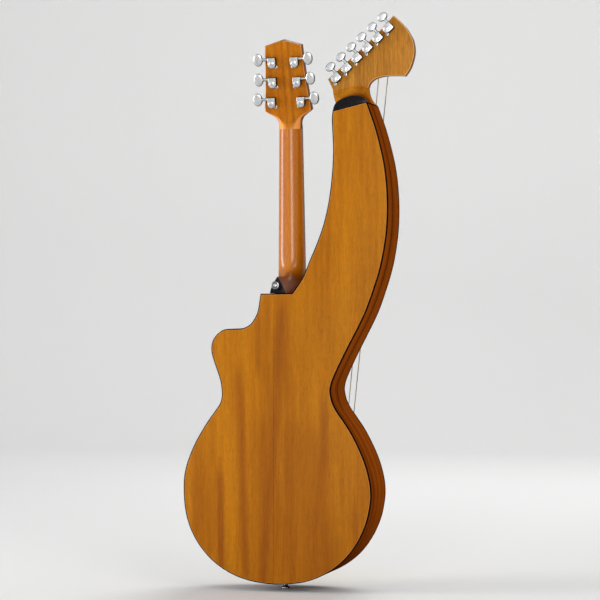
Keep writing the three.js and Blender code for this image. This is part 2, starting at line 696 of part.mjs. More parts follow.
function boardWidth(z) {
  return mix(NUT_WIDTH, NECK_WIDTH_AT_BODY, neckShare(z)) / 2;
}

function addFretboard() {
  const low = boardWidth(FRETBOARD_END);
  const high = boardWidth(NUT);
  const corners = [
    new THREE.Vector2(-low, FRETBOARD_END), new THREE.Vector2(low, FRETBOARD_END),
    new THREE.Vector2(high, NUT), new THREE.Vector2(-high, NUT),
  ];
  const board = slab(corners, () => FRETBOARD_FACE, () => FRETBOARD_BACK);
  const frets = Array.from({ length: FRET_COUNT }, (_, i) => fret(NUT - fretDistance(i + 1)));
  add('fretboard', joined(board, ...frets), ebony);
  const nutStart = NUT + GLUE_GAP;
  const nutEnd = NUT + NUT_THICKNESS - 2 * GLUE_GAP;
  const nut = bar(-high, high, [
    [FRETBOARD_BACK, nutStart], [FRETBOARD_BACK, nutEnd], [NUT_TOP + NUT_FALL, nutEnd],
    [NUT_TOP, nutStart + NUT_CREST], [NUT_TOP, nutStart],
  ]);
  add('neck_nut', nut, bone);
}

function fret(z) {
  const half = boardWidth(z) - GLUE_GAP;
  const foot = FRET_WIDTH / 2;
  const crown = FRET_CROWN / 2;
  return bar(-half, half, [
    [FRETBOARD_FACE + FRET_HEIGHT, z - foot], [FRETBOARD_FACE + FRET_HEIGHT, z + foot],
    [FRETBOARD_FACE - FRET_HEIGHT, z + crown], [FRETBOARD_FACE - FRET_HEIGHT, z - crown],
  ]);
}

// Bridge, saddles and pins

function bridgePoints(grow) {
  const low = BRIDGE - BRIDGE_HEIGHT_BELOW_SADDLE - grow;
  const high = BRIDGE + BRIDGE_HEIGHT_ABOVE_SADDLE + grow;
  const left = -BRIDGE_BASS_REACH - grow;
  const right = BRIDGE_TREBLE_REACH + grow;
  const corner = (high - low) / 4;
  return [
    [left, low + corner], [left + corner, low], [right - corner, low], [right, low + corner],
    [right, high - corner], [right - corner, high], [left + corner, high], [left, high - corner],
  ].map(([x, z]) => new THREE.Vector2(x, z));
}

function bridgePlatePoints(grow) {
  return bridgePoints(BRIDGE_PLATE_MARGIN + grow);
}

function saddle(grow) {
  const low = Math.min(...pinPlaces) - SADDLE_OVERHANG - grow;
  const high = Math.max(...pinPlaces) + SADDLE_OVERHANG + grow;
  const half = SADDLE_THICKNESS / 2 + grow;
  const bottom = BRIDGE_FACE + SADDLE_SLOT + grow;
  const round = SADDLE_TOP + SADDLE_ROUND;
  return bar(low, high, [
    [bottom, BRIDGE - half], [bottom, BRIDGE + half], [round, BRIDGE + half],
    [SADDLE_TOP, BRIDGE + SADDLE_CREST], [SADDLE_TOP, BRIDGE - SADDLE_CREST], [round, BRIDGE - half],
  ]);
}

function addBridge() {
  const body = slab(bridgePoints(0), () => BRIDGE_FACE, () => FRONT - GLUE_GAP, stringHoles);
  const sunk = PIN_HEAD_HEIGHT / 2;
  const pin = turned([
    [0, -sunk], [PIN_HEAD_RADIUS, -sunk], [PIN_HEAD_RADIUS, sunk], [0, PIN_HEAD_HEIGHT],
  ], TUNER_STEPS);
  const pins = pinPlaces.map((x) => pin.clone().translate(x, BRIDGE_FACE, PINS));
  add('bridge', joined(cut(body, saddle(GLUE_GAP)), ...pins), ebony);
  add('saddle', saddle(0), bone);
}

// The arm's head

function harpPoint([x, z]) {
  return new THREE.Vector2(armCorner.x - x * HARP_HEAD_REACH, armCorner.y + z * HARP_HEAD_LENGTH);
}

const harpInner = harpInnerShares.map(harpPoint);
const harpLobe = harpLobeShares.map(harpPoint);
const edgeStart = harpInner[harpInner.length - 1];
const edgeAlong = harpLobe[0].clone().sub(edgeStart).normalize();
const edgeOut = new THREE.Vector2(edgeAlong.y, -edgeAlong.x);
const harpTunerPlaces = Array.from({ length: STRING_COUNT }, (_, i) => {
  const place = edgeStart.clone()
    .addScaledVector(edgeAlong, HARP_TUNER_FIRST + i * HARP_TUNER_SPACING)
    .addScaledVector(edgeOut, -HARP_TUNER_INSET);
  return { x: place.x, z: place.y };
});

// The heel's outline at a depth: 0 at the head's back, 1 at the arm's back
function harpHeelOutline(share) {
  const outline = offsetOutline(rimOutside);
  const start = outline[END_INDEX + 1];
  const width = start.distanceTo(outline[END_INDEX]);
  const root = (1 - share) ** 2;
  return heelLensShares.map(([along, up], i) => {
    const [rootAlong, rootUp] = heelRootShares[i];
    return start.clone()
      .addScaledVector(endAlong, mix(along, rootAlong, root) * width)
      .addScaledVector(endUp, mix(up * HARP_HEEL_LENS, rootUp * HARP_HEEL_ROOT, root) + GLUE_GAP);
  });
}

function addHarpHead() {
  const root = harpHeelOutline(0);
  const corners = [root[root.length - 1], root[0]];
  const foot = corners.map((point) => point.clone().addScaledVector(endUp, GLUE_GAP));
  const outline = [...harpInner, ...harpLobe, ...foot];
  const plate = slab(outline, () => HARP_FACE_Y, () => HARP_BACK_Y, postHoles(harpTunerPlaces));
  const rings = Array.from({ length: HARP_HEEL_STEPS + 1 }, (_, i) => {
    const share = i / HARP_HEEL_STEPS;
    const lowest = HARP_BACK_Y - HEAD_THICKNESS / 2;
    return harpHeelOutline(share).map((point) => new THREE.Vector3(
      point.x, mix(lowest, back(point.y) - HARP_CAP_THICKNESS - GLUE_GAP, share), point.y,
    ));
  });
  const tenonEnds = [armCorner, armOuterCorner].map((corner, i) => (
    corner.clone().addScaledVector(endAlong, i === 0 ? TENON_INSET : -TENON_INSET)
  ));
  const tenonFaces = [shifted(topInner, TENON_REACH), shifted(backInner, -TENON_REACH)];
  const tenon = brace(...tenonEnds, 2 * TENON_REACH, ...tenonFaces);
  const block = filled(liningOutside, blockLimits(0).arm);
  add('harp_head', joined(plate, loft(rings.reverse()), tenon, block), redMahogany);
  add('harp_head_cap', slab(harpHeelOutline(1), shifted(back, -HARP_CAP_THICKNESS), back), ebony);
  const ends = [harpTunerPlaces[0], harpTunerPlaces[STRING_COUNT - 1]].map(({ x, z }) => (
    new THREE.Vector2(x, z - HARP_NUT_DISTANCE)
  ));
  const along = ends[1].clone().sub(ends[0]).normalize().multiplyScalar(HARP_NUT_OVERHANG);
  const nutFaces = [() => HARP_NUT_TOP, () => HARP_FACE_Y - GLUE_GAP];
  const nut = brace(ends[0].sub(along), ends[1].add(along), HARP_NUT_THICKNESS, ...nutFaces);
  add('harp_nut', nut, bone);
}

// Tuning machines, in a seat's own frame: X points out to the button, Z to the worm and Y to the head's back

// The gear case behind the head, with its screwed ear and the threaded bush that clamps it from the front
function housing(side) {
  const shoulder = WORM_OFFSET + WORM_CASE_RADIUS - CASE_BEVEL;
  const half = GEAR_CASE_RADIUS - CASE_BEVEL;
  const outline = [new THREE.Vector2(half, shoulder), new THREE.Vector2(-half, shoulder)];
  for (let i = 0; i <= TUNER_STEPS; i += 1) {
    const angle = Math.PI * (1 + i / TUNER_STEPS);
    outline.push(new THREE.Vector2(half * Math.cos(angle), half * Math.sin(angle)));
  }
  const shell = new THREE.ExtrudeGeometry(shapeOf(outline), {
    depth: CASE_HEIGHT - 2 * CASE_BEVEL, bevelSize: CASE_BEVEL, bevelThickness: CASE_BEVEL, bevelSegments: 1,
  });
  shell.rotateX(Math.PI / 2).translate(0, CASE_HEIGHT - CASE_BEVEL + GLUE_GAP, 0);
  const inner = GEAR_CASE_RADIUS / 2;
  const outer = GEAR_CASE_RADIUS + COLLAR_LENGTH;
  const collar = crossways(side, COLLAR_RADIUS, inner, outer);
  const ear = turned([
    [0, 0], [EAR_RADIUS, 0], [EAR_RADIUS, EAR_THICKNESS], [SCREW_RADIUS, EAR_THICKNESS],
    [0, EAR_THICKNESS + SCREW_HEIGHT],
  ], TUNER_STEPS).rotateX(Math.PI).translate(-side * EAR_OUT, GLUE_GAP, -EAR_DROP);
  const face = HEAD_THICKNESS + GLUE_GAP;
  const root = -CASE_BEVEL - GLUE_GAP;
  const bush = turned([
    [0, root], [BUSH_RADIUS, root], [BUSH_RADIUS, face], [NUT_RADIUS, face],
    [NUT_RADIUS, face + BUSH_NUT_THICKNESS], [0, face + BUSH_NUT_THICKNESS],
  ], TUNER_STEPS);
  const postBore = turned([
    [0, -POST_SEAT - GLUE_GAP], [POST_RADIUS + RUNNING_CLEARANCE, -POST_SEAT - GLUE_GAP],
    [POST_RADIUS + RUNNING_CLEARANCE, face + OVERRUN], [0, face + OVERRUN],
  ], TUNER_STEPS);
  const boreRadius = BUTTON_SHAFT_RADIUS + RUNNING_CLEARANCE;
  const shaftBore = crossways(side, boreRadius, outer - SHAFT_SEAT, outer + OVERRUN);
  for (const piece of [collar, shaftBore]) piece.translate(0, SHAFT_HEIGHT, WORM_OFFSET);
  return cut(joined(shell, collar, ear, bush), postBore, shaftBore);
}

// A round bar along the seat's X, out to one side
function crossways(side, radius, from, to) {
  return new THREE.CylinderGeometry(radius, radius, to - from, TUNER_STEPS)
    .rotateZ(Math.PI / 2).translate((side * (from + to)) / 2, 0, 0);
}

function post() {
  const waist = HEAD_THICKNESS + POST_WAIST_AT;
  const end = HEAD_THICKNESS + POST_STAND;
  return turned([
    [0, -POST_SEAT], [POST_RADIUS, -POST_SEAT], [POST_RADIUS, waist - POST_GROOVE],
    [POST_WAIST, waist - POST_GROOVE / 4], [POST_WAIST, waist + POST_GROOVE / 4],
    [POST_RADIUS, waist + POST_GROOVE], [POST_WAIST, end], [0, end],
  ], TUNER_STEPS);
}

// The button and its shaft, about the shaft's own axis
function button(side, { reach, halfWidth, halfLength }) {
  const outline = Array.from({ length: BUTTON_STEPS }, (_, i) => {
    const angle = (2 * Math.PI * i) / BUTTON_STEPS;
    const x = (halfWidth - BUTTON_BEVEL) * Math.cos(angle);
    return new THREE.Vector2(x, (halfLength - BUTTON_BEVEL) * Math.sin(angle));
  });
  const knob = new THREE.ExtrudeGeometry(shapeOf(outline), {
    depth: BUTTON_THICKNESS - 2 * BUTTON_BEVEL,
    bevelSize: BUTTON_BEVEL,
    bevelThickness: BUTTON_BEVEL,
    bevelSegments: 1,
  });
  knob.rotateX(Math.PI / 2).translate(side * reach, BUTTON_THICKNESS / 2 - BUTTON_BEVEL, 0);
  const from = GEAR_CASE_RADIUS + COLLAR_LENGTH - SHAFT_SEAT + GLUE_GAP;
  return joined(knob, crossways(side, BUTTON_SHAFT_RADIUS, from, reach));
}

function tunerSeat(parent, x, y, z, turn) {
  const seat = new THREE.Group();
  seat.position.set(x, y, z);
  seat.rotation.y = turn;
  parent.add(seat);
  seat.updateWorldMatrix(true, false);
  return seat;
}

const knobs = {
  neck: { reach: NECK_BUTTON_REACH, halfWidth: NECK_BUTTON_HALF_WIDTH, halfLength: NECK_BUTTON_HALF_LENGTH },
  harp: { reach: HARP_BUTTON_REACH, halfWidth: HARP_BUTTON_HALF_WIDTH, halfLength: HARP_BUTTON_HALF_LENGTH },
};
const harpTurn = Math.atan2(-edgeOut.y, edgeOut.x);
const tuners = [
  ...neckTunerPlaces.map(({ side, x, z }) => (
    { seat: tunerSeat(headGroup, x, HEAD_THICKNESS, z, 0), side, set: 'neck' }
  )),
  ...harpTunerPlaces.map(({ x, z }) => (
    { seat: tunerSeat(group, x, HARP_BACK_Y, z, harpTurn), side: 1, set: 'harp' }
  )),
];

function addTuners() {
  tuners.forEach(({ seat, side, set }, i) => {
    const number = (i % STRING_COUNT) + 1;
    add(`${set}_tuner_housing_${number}`, housing(side), chrome, seat);
    add(`${set}_tuner_post_${number}`, post(), chrome, seat);
    const knob = add(`${set}_tuner_button_${number}`, button(side, knobs[set]), chrome, seat);
    knob.position.set(0, SHAFT_HEIGHT, WORM_OFFSET);
  });
}

// Strings

// A string leaves its post this far from the post's axis
function besidePost(radius) {
  return POST_WAIST + radius + GLUE_GAP;
}

function postPoint(tuner, radius) {
  const place = new THREE.Vector3(-tuner.side * besidePost(radius), -HEAD_THICKNESS - POST_WAIST_AT, 0);
  return tuner.seat.localToWorld(place);
}

// From the string's anchor in the bridge plate, out of its hole and up to the saddle
function stringFrom(x, radius) {
  const lift = radius + GLUE_GAP;
  return [
    new THREE.Vector3(x, topInner() + BRIDGE_PLATE_THICKNESS / 2, STRING_HOLES),
    new THREE.Vector3(x, BRIDGE_FACE - lift, STRING_HOLES),
    new THREE.Vector3(x, SADDLE_TOP - lift, BRIDGE),
  ];
}

function neckString(x, i) {
  const half = (STRING_COUNT - 1) / 2;
  const radius = mix(PLAIN_DIAMETER, WOUND_DIAMETER, i / (STRING_COUNT - 1)) / 2;
  const tuner = tuners[i < half ? 2 - i : i];
  const nutX = (half - i) * STRING_SPACING_AT_NUT;
  const nut = new THREE.Vector3(nutX, NUT_TOP - radius - GLUE_GAP, NUT + GLUE_GAP + NUT_CREST / 2);
  return rod([...stringFrom(x, radius), nut, postPoint(tuner, radius)], radius, STRING_SIDES);
}

function bassString(x, i) {
  const radius = mix(BASS_FIRST_DIAMETER, BASS_LAST_DIAMETER, i / (STRING_COUNT - 1)) / 2;
  const tuner = tuners[STRING_COUNT + i];
  const end = postPoint(tuner, radius);
  const down = new THREE.Vector3(x - end.x, 0, BRIDGE - end.z).normalize();
  const inwards = HARP_NUT_DISTANCE * edgeOut.y - besidePost(radius);
  const toNut = -inwards / (down.x * edgeOut.x + down.z * edgeOut.y);
  const nut = end.clone().addScaledVector(down, toNut).setY(HARP_NUT_TOP - radius - GLUE_GAP);
  return rod([...stringFrom(x, radius), nut, end], radius, STRING_SIDES);
}

// All twelve strings are anchored in the bridge plate under the soundboard, and make one piece with it
function addStrings() {
  const plate = slab(bridgePlatePoints(0), topInner, shifted(topInner, BRIDGE_PLATE_THICKNESS));
  add('strings', joined(plate, ...atBridge.neck.map(neckString), ...atBridge.bass.map(bassString)), bronze);
}

// Strap buttons, each turned about its axis from its washer outwards

function strapButton() {
  const base = FELT_THICKNESS;
  const end = FELT_THICKNESS + BUTTON_LENGTH;
  const [waistLow, waistHigh, flange] = strapShares.map((share) => mix(base, end, share));
  return turned([
    [0, GLUE_GAP], [STRAP_BASE_RADIUS, GLUE_GAP], [STRAP_BASE_RADIUS, base],
    [STRAP_WAIST_RADIUS, waistLow], [STRAP_WAIST_RADIUS, waistHigh],
    [STRAP_FLANGE_RADIUS, flange], [STRAP_FLANGE_RADIUS, end], [0, end],
  ], STRAP_STEPS);
}

function addStrapButtons() {
  const tail = add('tail_strap_button', strapButton(), chrome);
  tail.rotation.x = Math.PI / 2;
  tail.position.set(0, 0, BODY_TAIL);
  const heelButton = add('heel_strap_button', strapButton(), chrome);
  const height = SHOULDER + HEEL_STRAP_HEIGHT;
  heelButton.rotation.x = Math.PI + Math.atan(BACK_TAPER);
  heelButton.position.set(0, back(height), height);
}

addPlates();
addRims();
addBlocks();
addBracing();
addNeck();
addFretboard();
addBridge();
addHarpHead();
addTuners();
addStrings();
addStrapButtons();

export default group;
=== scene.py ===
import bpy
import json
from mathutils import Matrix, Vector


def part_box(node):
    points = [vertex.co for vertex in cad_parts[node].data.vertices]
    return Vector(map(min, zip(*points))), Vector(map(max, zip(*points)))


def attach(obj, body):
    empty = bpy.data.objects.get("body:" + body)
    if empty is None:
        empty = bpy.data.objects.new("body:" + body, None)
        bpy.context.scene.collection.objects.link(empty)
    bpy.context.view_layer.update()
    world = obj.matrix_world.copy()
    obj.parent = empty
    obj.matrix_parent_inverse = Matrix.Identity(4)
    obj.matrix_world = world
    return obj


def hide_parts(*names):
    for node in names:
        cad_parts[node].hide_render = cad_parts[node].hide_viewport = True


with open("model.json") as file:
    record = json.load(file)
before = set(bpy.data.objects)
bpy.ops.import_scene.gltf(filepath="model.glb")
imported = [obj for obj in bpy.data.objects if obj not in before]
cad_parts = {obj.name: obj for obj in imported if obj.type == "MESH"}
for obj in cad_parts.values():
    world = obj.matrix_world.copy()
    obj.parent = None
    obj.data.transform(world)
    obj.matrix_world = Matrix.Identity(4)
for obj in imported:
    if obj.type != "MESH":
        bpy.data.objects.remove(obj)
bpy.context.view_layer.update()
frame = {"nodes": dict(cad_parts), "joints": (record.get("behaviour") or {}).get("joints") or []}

# The looks of a harp guitar, built round its fixed frame. Sizes here are in millimetres unless a name says
# otherwise, and finished meshes are in metres. Z runs up the neck, the strings face -Y, the back faces +Y.
import json
import math

import bmesh
import bpy
import numpy as np
from mathutils import Matrix, Vector
from mathutils.geometry import tessellate_polygon

MM = 0.001
UP = Vector((0, 0, 1))
FRONTWARDS = Vector((0, -1, 0))
BACKWARDS = Vector((0, 1, 0))
QUARTER = math.pi / 2
WELD_M = 1e-6  # vertices closer than this are one
TINY = 1e-6
CLOSE = 0.01  # places nearer than this are the same
FLAT_SHARE = 0.995  # of a unit normal, for a face that counts as facing a direction
OUTLINE_CORNER = math.radians(30)  # an outline turns more than this at a sharp corner
STRIP_CORNER_COSINE = 0.6  # and a strip's outline more than this at its ends
MITRE_LIMIT = 0.35
SHADING_CORNER = math.radians(40)

# Camera, in metres
CAMERA_PLACE = Vector((-1.1504, 3.9008, 0.5235))
CAMERA_LOOK = Vector((0.2756, -0.9613, 0.0023))
CAMERA_ROLL = math.radians(-0.47)  # the instrument leans a little in the picture
CAMERA_LENS = 131.9
SENSOR = 36.0
SIGHT_M = 50

# Edges and small trim
PLATE_EDGE = 0.9
BINDING_EDGE = 0.6
RIM_EDGE = 0.15
CAP_EDGE = 1.2
HEAD_EDGE = 2.0
VENEER_EDGE = 0.5
BRIDGE_EDGE = 2.2
ARM_NUT_EDGE = 1.6
CAP_THICKNESS = 2.3
INLAY_PROUD = 0.06
# Inlaid rings, from the soundhole's edge outwards and from the soundboard's edge inwards
ROSETTE_RINGS = ((3.0, 4.2, "binding"), (4.2, 5.0, "bone"), (5.0, 11.0, "rosewood"), (11.0, 11.8, "bone"),
                 (11.8, 13.0, "binding"))
PURFLING_RINGS = ((0.2, 1.0, "bone"), (1.0, 1.8, "binding"), (1.8, 2.4, "bone"))

# Neck
NECK_DEPTH_AT_NUT = 15.5
NECK_DEPTH_AT_BODY = 18.0
NECK_STEPS = 33
NECK_SHORT_OF_NUT = 6.0
HEEL_SWEEP = 92.0  # the heel's sweep ends this far above the shoulder
HEEL_SWEEP_POWER = 4.2  # how tightly the sweep turns
HEEL_STEPS = 44
HEEL_POINT_SHARE = 0.8  # of the sweep, over which the pointed section turns round
OGIVE_POWER = 1.5
HEAD_THICKNESS = 15.0
VENEER_THICKNESS = 1.8
HEAD_BLEND = 34.0  # the neck's round back runs out over this length of the head
HEAD_DEPTH_BLEND = 23.8  # and its depth over this length
HEAD_ROUND_DEPTH = 15.2
HEAD_LEAST_HALF = 0.4
HEAD_START = 3.0
HEAD_ROW_SHARES = (0.3, 0.4, 0.5, 0.6, 0.7, 0.8, 0.9)
HEAD_ROW_GAP = 0.3
# The angles round the neck's back where its sides and its edges end, and how many points each stretch has
SIDE_TO, EDGE_TO = 0.62, 0.95
SIDE_COUNT, EDGE_COUNT, FLAT_COUNT = 5, 6, 8

# Fretboard and nut
SCALE_LENGTH = 628.0
OCTAVE_FRET_COUNT = 12
FRET_COUNT = 19
FRET_HEIGHT = 1.1
FRET_HALF_WIDTH = 1.2
FRET_END_HEIGHT = 0.25
FRET_END_HALF_WIDTH = 0.8
FRET_SETBACK = 0.3  # its ends, from the board's sides
FRET_BEVEL = 0.8
FRET_ROOT = 0.5
BOARD_RADIUS = 400.0  # across the fretboard
BOARD_END_EDGE = 0.4
DOT_RADIUS = 3.0
DOT_DEPTH = 1.0
DOT_FRETS = {3: (0,), 5: (0,), 7: (0,), 9: (0,), 12: (-0.55, 0.55), 15: (0,), 17: (0,)}
SIDE_DOT_PROFILE = ((0, -0.5), (1.1, -0.5), (1.1, 0), (0, INLAY_PROUD))
NUT_CREST = ((2.2, 0), (1.1, -0.8), (0.3, -2.0))  # behind the nut's front and above its top
NUT_FOOT = ((0, 1.0), (0, 0.3), (0.3, 0))  # behind its front and above its foot
BAR_EDGE = 0.3

# Strings, with the bridge's pins as (radius, height) from the bridge's face
STRING_COUNT = 6
NUT_SPACING = 7.3
NUT_SLOT = 0.6
STRING_DIAMETERS = {"neck": (0.33, 1.37), "harp": (1.1, 1.9)}  # the first and the last
PLAIN_COUNT = 2
STRING_SIDES = 10
STRING_UNDER_FACE = 3.0
STRING_OVER_FACE = 0.4
STRING_CLEAR_OF_PIN = 0.5
POST_TURNS = 3
TURN_STEPS = 20
PIN_BEHIND_HOLE = 5.7
PIN_PROFILE = ((3.6, 0), (4.1, 0.6), (4.1, 1.3), (3.6, 2.4), (2.5, 3.3), (1.6, 3.75), (0, 3.9))
PIN_DOT_PROFILE = ((1.5, 3.4), (1.4, 3.9), (0, 4.0))
ANCHOR_GAP = 0.3
ANCHOR_THICKNESS = 2.5
ANCHOR_EDGE = 0.4

# Tuning machines. Profiles are (radius, height) along their own axis: the cap's from the case's top, the
# collar's from the case's side, the screw's from the ear, the stem's from the button, the others' from the
# head's face.
CASE_HALF = 7.7
CASE_TOP = 11.9
CASE_HEIGHT = 10.5
CASE_EDGE = 1.3
CASE_FOOT_EDGE = 0.3
CASE_CORNER = 2.2
CASE_SEAT = 0.3
CASE_DISH = 0.5
GEAR_CAP_PROFILE = ((5.4, -1.5), (5.4, -0.3), (5.0, 0), (1.6, 0.1), (1.4, -0.3), (0, -0.3))
COLLAR_PROFILE = ((4.0, -1.0), (4.0, 0.1), (3.4, 0.5), (3.4, 1.8), (3.0, 2.2))
EAR_PLACE = Vector((-6.4, 0, -7.2))
EAR_ROOT = Vector((-2.5, 0, -3.0))
EAR_RADIUS = 2.8
EAR_THICKNESS = 1.6
EAR_EDGE = 0.4
SCREW_PROFILE = ((1.9, 0), (1.9, 0.25), (1.52, 0.8), (0.75, 1.05), (0.5, 0.4), (0, 0.3))
WORM_OFFSET = 8.5
SHAFT_HEIGHT = 5.4
SHAFT_RADIUS = 2.7
SHAFT_START = 5.2
STEM_PROFILE = ((2.7, -1.2), (3.2, -0.9), (3.2, -0.3), (2.9, 0.8))
BUTTON_HALF_LENGTH = {"neck": 12.0, "harp": 10.2}
BUTTON_HALF_WIDTH = {"neck": 8.8, "harp": 7.5}
BUTTON_HALF_THICKNESS = 3.5
BUTTON_POWER = 4.0  # how square the button's edge is
BUTTON_REACH = {"neck": 26.5, "harp": 22.8}
BUTTON_STEPS = 24
BUTTON_SIDES = 48
WASHER_PROFILE = ((4.3, 0), (6.6, 0), (6.6, 0.5), (6.3, 0.8), (4.3, 0.8))
CLAMP_NUT_PROFILE = ((6.1, 0.8), (6.1, 1.9), (5.2, 2.4), (4.3, 2.4))
BUSH_PROFILE = ((4.3, 0.8), (4.3, 2.5), (3.9, 2.8), (3.3, 2.8))
POST_WAIST = 2.5
POST_WAIST_AT = 8.5
POST_PROFILE = (
    (3.0, -3.0), (3.0, 6.1), (2.85, 6.5), (2.6, 7.6), (POST_WAIST, POST_WAIST_AT), (2.6, 9.4), (2.9, 10.5),
    (3.0, 11.0), (2.9, 12.4), (2.5, 12.9), (1.6, 13.0), (1.2, 12.5), (0, 12.4),
)

# Arm head
HARP_THICKNESS = 15.0
HARP_ROOT = 46.0  # how far the heel's root reaches up the head
HARP_LENS = 19.5  # how far the heel reaches past the arm at the back
HARP_HEEL_STEPS = 26
HARP_HEEL_POWER = 1.5  # how much closer the heel's sections are at the head
HARP_FILLET_SHARE = 0.14  # of the heel's depth
HARP_FILLET_REACH_SHARE = 0.22
# The heel's outline where it leaves the head, and at the back: along the arm's end, and up it
HEEL_ROOT_SHARES = (
    (0, 0), (-0.055, 0.26), (-0.11, 0.56), (-0.12, 0.92), (0.3, 1), (0.7, 0.96), (0.9, 0.75), (0.9, 0.48),
    (0.94, 0.2), (1, 0),
)
HEEL_LENS_SHARES = (
    (0, 0), (0.05, 0.36), (0.145, 0.73), (0.3, 0.92), (0.48, 1), (0.66, 0.975), (0.83, 0.77), (0.94, 0.49),
    (1, 0.23), (1, 0),
)
# The strip over the joint at the arm's end, from its outer corner: along the end, and up the head
ARM_STRIP_CORNERS = ((-1.5, -1.6), (0.35, -1.6), (0.35, 0.7), (-1.5, 0.7))

# Strap buttons, about their own axis from the washer outwards
FELT_THICKNESS = 1.5
FELT_PROFILE = ((6.3, 0), (6.6, 0.3), (6.6, 1.2), (6.3, FELT_THICKNESS))
STRAP_LENGTH = 12.5
STRAP_PROFILE = (
    (5.4, 0), (5.6, 0.5), (5.3, 1.3), (4.5, 2.6), (4.05, 4.0), (4.0, 5.2), (4.3, 6.6), (5.2, 7.9),
    (6.7, 8.9), (7.5, 9.4), (7.8, 10.2), (7.8, 11.2), (7.3, 12.1), (6.5, STRAP_LENGTH),
    (4.3, STRAP_LENGTH), (4.0, 12.1), (3.6, 11.6), (0, 11.6),
)
STRAP_SCREW_PROFILE = ((3.4, 11.4), (3.2, 12.0), (2.2, 12.4), (0.9, 12.5), (0.7, 11.9), (0, 11.8))

nodes = frame["nodes"]
joints = {joint["name"]: joint for joint in frame["joints"]}


def span(node):
    """A CAD node's lowest and highest corner."""
    low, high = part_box(node)
    return Vector(low) / MM, Vector(high) / MM


def joint_axis(name):
    return Vector(joints[name]["axis"]).normalized()


def unit(vectors):
    return vectors / np.maximum(np.linalg.norm(vectors, axis=-1, keepdims=True), 1e-12)


def mix(low, high, share):
    return low + (high - low) * share


def ease(share):
    share = min(max(share, 0.0), 1.0)
    return share * share * (3 - 2 * share)


# Outlines, in X and Z


def arc(middle, radius, first, last, steps):
    """Points round part of a circle, with both ends."""
    angles = np.linspace(first, last, steps + 1)
    return np.array(middle) + radius * np.stack([np.cos(angles), np.sin(angles)], axis=1)


def circle(middle, radius, steps=96):
    return arc(middle, radius, 0, 2 * math.pi, steps)[:-1]


def walk(edges):
    """Closed loops of vertices along the given edges."""
    near = {}
    for edge in edges:
        for vert in edge.verts:
            near.setdefault(vert, []).append(edge)
    left = set(edges)
    loops = []
    for first in edges:
        if first not in left:
            continue
        left.discard(first)
        start, here = first.verts
        loop = [start]
        while here is not start:
            loop.append(here)
            edge = next(e for e in near[here] if e in left)
            left.discard(edge)
            here = edge.other_vert(here)
        loops.append(loop)
    return loops


def face_loops(node, towards):
    """The closed outlines of a CAD node's flat faces towards a direction, longest first."""
    mesh = bmesh.new()
    mesh.from_mesh(nodes[node].data)
    bmesh.ops.remove_doubles(mesh, verts=mesh.verts, dist=WELD_M)
    mesh.normal_update()
    flat = {face for face in mesh.faces if face.normal.dot(towards) > FLAT_SHARE}
    rim = [edge for edge in mesh.edges if sum(face in flat for face in edge.link_faces) == 1]
    loops = [np.array([vert.co / MM for vert in loop]) for loop in walk(rim)]
    mesh.free()
    return sorted(loops, key=lambda loop: -np.linalg.norm(loop - np.roll(loop, 1, axis=0), axis=1).sum())


def signed_area(outline):
    after = np.roll(outline, -1, axis=0)
    return (outline[:, 0] * after[:, 1] - outline[:, 1] * after[:, 0]).sum() / 2


def anticlockwise(outline):
    outline = np.array(outline)
    return outline if signed_area(outline) > 0 else outline[::-1]


def flattened(loop):
    """A loop's X and Z."""
    return anticlockwise(loop[:, [0, 2]])


def outline_of(node, towards=BACKWARDS):
    """The outline of a CAD node's flat face."""
    return flattened(face_loops(node, towards)[0])


def turns_of(outline):
    """The unit steps that arrive at each point of a closed outline and leave it, with their lengths."""
    arrive = outline - np.roll(outline, 1, axis=0)
    leave = np.roll(outline, -1, axis=0) - outline
    lengths = [np.linalg.norm(step, axis=1, keepdims=True) for step in (arrive, leave)]
    return unit(arrive), unit(leave), *lengths


def smoothed(outline, pieces=4):
    """A closed outline with smooth curves between its sharp corners."""
    arrive, leave, arrive_length, leave_length = turns_of(outline)
    tangent = unit(arrive * leave_length + leave * arrive_length)
    sharp = np.einsum("ij,ij->i", arrive, leave) < math.cos(OUTLINE_CORNER)
    points = []
    for i, start in enumerate(outline):
        j = (i + 1) % len(outline)
        out = leave[i] if sharp[i] else tangent[i]
        into = leave[i] if sharp[j] else tangent[j]
        for step in range(pieces):
            t = step / pieces
            points.append(
                (2 * t**3 - 3 * t**2 + 1) * start
                + (3 * t**2 - 2 * t**3) * outline[j]
                + leave_length[i] * ((t**3 - 2 * t**2 + t) * out + (t**3 - t**2) * into)
            )
    return np.array(points)


def inset(outline, distance):
    """A closed outline moved into the material, with mitred corners."""
    arrive, leave = turns_of(outline)[:2]
    arrive_in = np.stack([-arrive[:, 1], arrive[:, 0]], axis=1)
    leave_in = np.stack([-leave[:, 1], leave[:, 0]], axis=1)
    mitre = unit(arrive_in + leave_in)
    reach = np.maximum(np.einsum("ij,ij->i", mitre, arrive_in), MITRE_LIMIT)
    return outline + mitre * (distance / reach)[:, None]


def longest_step(outline):
    """The two ends of a closed outline's longest straight stretch."""
    after = np.roll(outline, -1, axis=0)
    longest = np.linalg.norm(after - outline, axis=1).argmax()
    return outline[longest], after[longest]


# Solids: points with the faces over them


class Solid:
    """Points and faces. The faces numbered in flat are shaded flat, the others smoothly."""

    def __init__(self, points, faces, flat=()):
        self.points = np.array(points, float).reshape(-1, 3)
        self.faces = [tuple(int(i) for i in face) for face in faces]
        self.flat = set(flat)

    def moved(self, matrix):
        turn = np.array(matrix.to_3x3())
        return Solid(self.points @ turn.T + np.array(matrix.translation), self.faces, self.flat)


def merged(*solids):
    points, faces, flat = [], [], set()
    for solid in solids:
        start = sum(len(part) for part in points)
        flat |= {len(faces) + i for i in solid.flat}
        faces += [tuple(i + start for i in face) for face in solid.faces]
        points.append(solid.points)
    return Solid(np.concatenate(points), faces, flat)


